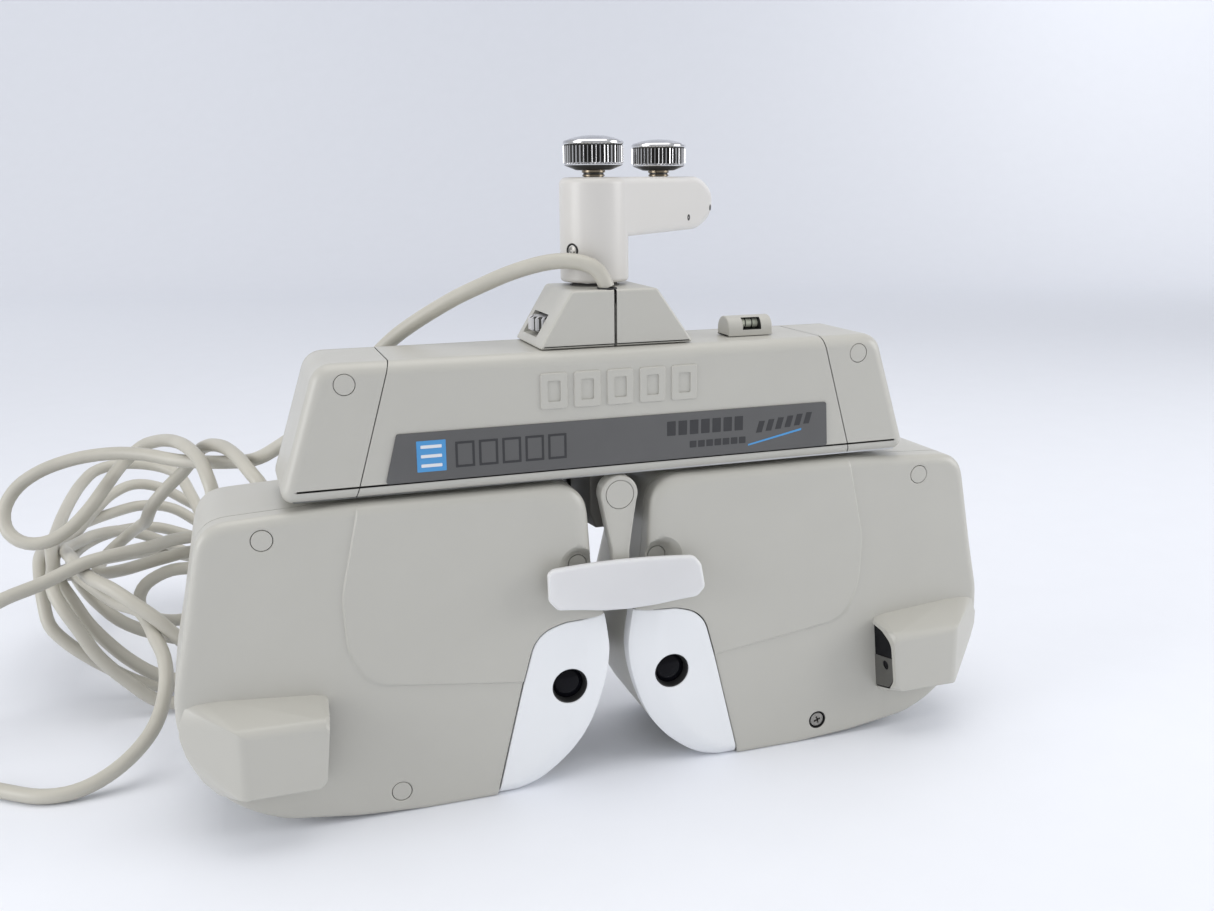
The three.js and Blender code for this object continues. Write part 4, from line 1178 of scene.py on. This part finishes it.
def camera():
    yaw, pitch, roll = math.radians(18.565), math.radians(13.513), math.radians(0.488)
    forward = Vector((math.sin(yaw) * math.cos(pitch), math.cos(yaw) * math.cos(pitch), -math.sin(pitch)))
    level = Vector((math.cos(yaw), -math.sin(yaw), 0))
    down = forward.cross(level)
    right = level * math.cos(roll) + down * math.sin(roll)
    up = level * math.sin(roll) - down * math.cos(roll)
    data = bpy.data.cameras.new("camera")
    data.lens = 34.1
    data.sensor_width = 36
    data.clip_start = 0.01
    SCENE.camera = linked("camera", data)
    SCENE.camera.matrix_world = Matrix((right, up, -forward)).transposed().to_4x4()
    SCENE.camera.location = at(-169.2, -483.5, 284.3)


def backdrop():
    """A pale sheet that lies on the table and sweeps up behind the object."""
    bend = [(2.4 + 1.2 * math.sin(a), 1.2 * (1 - math.cos(a))) for a in np.linspace(0.05, 1.57, 24)]
    run = [(-3.0, 0), (2.4, 0), *bend, (3.6, 4.0)]
    vertices = [(x, y, z) for x in (-7, 7) for y, z in run]
    count = len(run)
    faces = [(i, i + 1, count + i + 1, count + i) for i in range(count - 1)]
    obj = mesh_object("backdrop", vertices, faces)
    obj.data.transform(Matrix.Rotation(math.radians(-18), 4, "Z"))
    obj.data.shade_smooth()
    obj.data.materials.append(surface("backdrop", (0.83, 0.85, 0.9), 0.7, mottle=0.004))


def softbox(name, size, energy, location, target=(0, 0, 0.1), colour=(1, 1, 1)):
    data = bpy.data.lights.new(name, "AREA")
    data.size = size
    data.energy = energy
    data.color = colour
    obj = linked(name, data)
    obj.location = location
    obj.rotation_euler = (Vector(target) - obj.location).to_track_quat("-Z", "Y").to_euler()


def lights():
    world = bpy.data.worlds.new("world")
    world.use_nodes = True
    world.node_tree.nodes["Background"].inputs[0].default_value = (0.79, 0.8, 0.83, 1)
    world.node_tree.nodes["Background"].inputs[1].default_value = 0.74
    SCENE.world = world
    softbox("overhead", 1.4, 11, (0.0, 0.0, 1.7), colour=(1, 0.98, 0.95))
    softbox("from_left", 1.0, 13, (-1.8, -0.3, 0.6))
    softbox("from_right", 1.0, 13, (1.7, -0.7, 0.7))
    for name, side in (("wall_left", -1), ("wall_right", 1)):
        softbox(name, 1.2, 13, (side * 2.1 + 0.6, 1.7, 1.9), (side * 2.6 + 0.9, 3.3, 0.9))


# ---- cable ----

CABLE_R = 3.6
ROUNDS = 160          # most rounds that the cable gets to settle in

# The cable's route by stretches: where it leaves the tower, the high loop over the coil, the turns of the
# coil from the top one down, the loop on the table, the last turn and the tail.
LEAD = [
    (*GLAND, 236.8), (-3.4, 11.8, 239.6), (-4.9, 12.6, 242.8), (-7.2, 14.0, 245.6), (-11.3, 16.4, 247.5),
    (-15.9, 19.0, 248.4), (-21.1, 22.0, 248.5), (-26.5, 25.5, 247.7), (-34.0, 30.0, 245.6),
    (-43.4, 36.0, 241.9), (-52.8, 41.0, 237.4), (-63.4, 47.0, 231.9), (-73.4, 53.0, 225.6),
    (-83.2, 60.0, 218.5), (-92.2, 67.0, 210.8), (-107, 79, 194), (-126, 95, 171), (-147, 111, 154),
    (-158, 125, 146), (-170, 140, 142),
]
HIGH_LOOP = [
    (-183, 152, 140), (-198, 165, 139), (-215, 178, 140.5), (-232, 188, 140), (-253, 195, 136.5),
    (-271, 198, 130), (-283, 198, 121.5), (-289, 194, 111.5), (-288, 188, 101.5), (-280, 182, 95.5),
    (-268, 178, 95.5), (-256, 178, 101.5), (-246, 184, 110), (-236, 196, 121), (-228, 208, 129),
    (-218, 211, 137), (-209, 200, 142), (-200, 182, 145.5), (-192, 162, 146), (-185, 142, 142),
    (-182, 130, 136), (-180, 124, 128), (-181, 124, 117),
]
TURNS = [
    [(-178, 124, 100), (-176, 122, 80), (-180, 117, 62), (-188, 113, 51), (-196, 112, 49),
     (-205, 115, 56), (-214, 119, 65), (-226, 126, 74.5), (-236, 134, 81), (-245, 144, 84),
     (-253, 158, 87), (-260, 180, 86), (-267, 208, 80), (-270, 236, 72), (-267, 264, 66), (-258, 287, 64),
     (-243, 300, 62), (-228, 306, 56), (-206, 302, 45)],
    [(-178, 290, 32), (-150, 262, 22), (-138, 226, 14), (-144, 188, 7), (-162, 158, 4), (-186, 146, 4),
     (-208, 148, 4.5), (-220, 150, 8), (-231, 152, 18), (-242, 154, 30), (-248, 156, 38), (-254, 160, 49),
     (-261, 166, 60), (-266, 174, 69), (-266, 186, 78), (-268, 204, 83), (-268, 226, 86), (-267, 252, 90),
     (-264, 276, 95), (-260, 294, 99), (-253, 303, 104), (-237, 309, 106), (-217, 305, 104),
     (-203, 293, 100), (-196, 277, 91)],
    [(-190, 262, 80), (-180, 240, 62), (-171, 212, 44), (-170, 186, 28), (-184, 167, 16), (-204, 158, 14),
     (-218, 161, 18), (-231, 163, 28), (-242, 166, 40), (-250, 171, 50), (-256, 178, 60), (-262, 189, 68),
     (-266, 204, 73), (-269, 228, 72), (-270, 258, 69), (-265, 291, 68), (-257, 320, 73), (-247, 337, 79),
     (-234, 346, 82), (-219, 350, 78), (-200, 348, 66)],
    [(-172, 338, 48), (-143, 312, 32), (-127, 275, 20), (-126, 234, 12), (-140, 200, 6), (-166, 180, 4),
     (-196, 172, 4), (-226, 174, 8), (-246, 178, 20), (-255, 179, 27), (-265, 183, 35), (-273, 188, 44),
     (-276, 196, 55), (-278, 208, 67), (-280, 228, 72), (-280, 256, 70), (-276, 284, 68), (-268, 308, 68),
     (-250, 328, 69), (-230, 338, 70), (-211, 338, 66), (-190, 330, 52)],
    [(-165, 312, 38), (-147, 284, 28), (-140, 250, 20), (-149, 216, 16), (-170, 193, 18), (-194, 181, 26),
     (-218, 176, 36), (-236, 176, 46), (-249, 184, 56), (-260, 202, 63), (-267, 230, 63), (-268, 262, 62),
     (-258, 292, 62), (-242, 312, 61), (-222, 322, 58), (-200, 320, 50)],
    [(-177, 306, 42), (-160, 283, 36), (-154, 254, 36), (-160, 226, 48), (-175, 206, 66), (-194, 197, 76),
     (-212, 196, 74), (-232, 202, 68), (-246, 218, 62), (-251, 240, 58), (-246, 258, 62), (-234, 258, 72),
     (-224, 236, 84), (-219, 208, 94), (-213, 190, 108), (-204, 187, 118), (-195, 187, 126),
     (-187, 180, 137), (-180, 165, 144), (-172, 148, 146), (-165, 128, 144), (-160, 112, 140),
     (-155, 102, 134), (-151, 100, 123)],
    [(-146, 112, 108), (-142, 136, 92), (-143, 162, 80), (-152, 180, 72), (-168, 184, 69),
     (-190, 184, 70), (-208, 184, 70), (-222, 186, 62), (-226, 190, 50), (-220, 198, 38), (-203, 212, 30),
     (-184, 224, 34), (-171, 228, 48), (-168, 218, 64), (-174, 204, 77), (-187, 196, 84)],
]
TABLE_LOOP = [
    (-202, 189, 86), (-214, 175, 87), (-227, 163, 88), (-239, 155, 88), (-248, 150, 87), (-268, 144, 81),
    (-287, 141, 76), (-307, 142, 64), (-328, 144, 48), (-346, 141, 31), (-361, 132, 16), (-368, 118, 6),
    (-364, 104, 3.7), (-352, 97, 3.7), (-337, 96, 3.7), (-320, 95, 3.7), (-303, 90, 3.7), (-287, 79, 3.7),
    (-267, 66, 3.7), (-253, 64, 4.5), (-240, 66, 8), (-226, 70, 16), (-215, 79, 26), (-209, 92, 40),
    (-209, 104, 51), (-213, 116, 58.5), (-217, 128, 64), (-222, 139, 66), (-232, 149, 67),
    (-240, 158, 70), (-248, 168, 74),
]
LAST_TURN = [
    (-256, 186, 74), (-264, 210, 68), (-268, 240, 62), (-262, 268, 56), (-246, 292, 50), (-224, 306, 46),
    (-198, 308, 38), (-172, 296, 27), (-148, 276, 15), (-126, 254, 6),
]
TAIL = [
    (-109, 233, 3.8), (-97, 212, 3.8), (-92, 192, 3.8), (-86, 174, 4), (-76, 160, 4.6), (-62, 152.5, 6.8),
    (-50, 151.5, 9), (-42, 151.5, 9.5),
]


def even_line(points, step):
    """The smooth line through the points, as points one step apart."""
    p = np.array(points, float)
    p = np.vstack([2 * p[0] - p[1], p, 2 * p[-1] - p[-2]])
    knots = np.concatenate([[0], np.cumsum(np.sqrt(np.linalg.norm(np.diff(p, axis=0), axis=1)))])
    line = []
    for i in range(1, len(p) - 2):
        t0, t1, t2, t3 = knots[i - 1 : i + 3]
        t = np.linspace(t1, t2, 12, endpoint=False)[:, None]
        a1 = (t1 - t) / (t1 - t0) * p[i - 1] + (t - t0) / (t1 - t0) * p[i]
        a2 = (t2 - t) / (t2 - t1) * p[i] + (t - t1) / (t2 - t1) * p[i + 1]
        a3 = (t3 - t) / (t3 - t2) * p[i + 1] + (t - t2) / (t3 - t2) * p[i + 2]
        b1 = (t2 - t) / (t2 - t0) * a1 + (t - t0) / (t2 - t0) * a2
        b2 = (t3 - t) / (t3 - t1) * a2 + (t - t1) / (t3 - t1) * a3
        line.append((t2 - t) / (t2 - t1) * b1 + (t - t1) / (t2 - t1) * b2)
    line = np.vstack(line + [p[-2:-1]])
    along = np.concatenate([[0], np.cumsum(np.linalg.norm(np.diff(line, axis=0), axis=1))])
    even = np.linspace(0, along[-1], round(along[-1] / step))
    return np.column_stack([np.interp(even, along, line[:, k]) for k in range(3)])


def settle(line, step, radius):
    """Moves the line's stretches apart until they only rest on each other, and keeps them on the table."""
    count = len(line)
    apart = 2.06 * radius
    near = round(3.2 * radius / step)
    shift = np.zeros_like(line)
    hold = np.clip(np.minimum(np.arange(count), np.arange(count)[::-1]) * step / 60, 0, 1)[:, None]
    for _ in range(ROUNDS):
        now = line + shift
        tree = mathutils.kdtree.KDTree(count)
        for i, p in enumerate(now):
            tree.insert(p, i)
        tree.balance()
        push = np.zeros_like(line)
        for i, p in enumerate(now):
            for _, j, gap in tree.find_range(p, apart):
                if j - i > near and gap > 1e-6:
                    move = (now[j] - p) / gap * (apart - gap) * 0.5
                    push[i] -= move
                    push[j] += move
        biggest = np.abs(push).max()
        shift += push * hold
        for _ in range(3):
            shift[1:-1] = 0.25 * shift[:-2] + 0.5 * shift[1:-1] + 0.25 * shift[2:]
        low = np.maximum(0, radius - (line + shift)[:, 2])
        shift[:, 2] += low
        if biggest < 0.02:
            break
    return line + shift


def cable(material):
    step = 4.0
    route = LEAD + HIGH_LOOP + [p for turn in TURNS for p in turn] + TABLE_LOOP + LAST_TURN + TAIL
    line = settle(even_line(route, step), step, CABLE_R)
    data = bpy.data.curves.new("cable", "CURVE")
    data.dimensions = "3D"
    data.bevel_depth = CABLE_R * MM
    data.bevel_resolution = 5
    data.use_fill_caps = True
    spline = data.splines.new("POLY")
    spline.points.add(len(line) - 1)
    for point, p in zip(spline.points, line):
        point.co = (*at(*p), 1)
    obj = linked("cable", data)
    obj.data.materials.append(material)
    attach(obj, "housing")
    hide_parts("cable_lead", "cable_loop", "cable_coil", "cable_tail")
    return obj


camera()
backdrop()
lights()
SCENE.view_settings.view_transform = "Standard"
mechanism()
heads()
housing()
label()
base_plate()
vial()
tower()
thumbwheel()
arm()
clamp_screw()
knob("swivel_lock_knob", 274, 0, AXIS_Y, "swivel_knob")
knob("mount_lock_knob", 273.3, *along_arm(KNOB_AT), "mount_knob")
post()
rest_arm()
rest_pad()
rest_guide()
rest_knob()
plug = connector()
cord = cable(LOOKS["cable"])
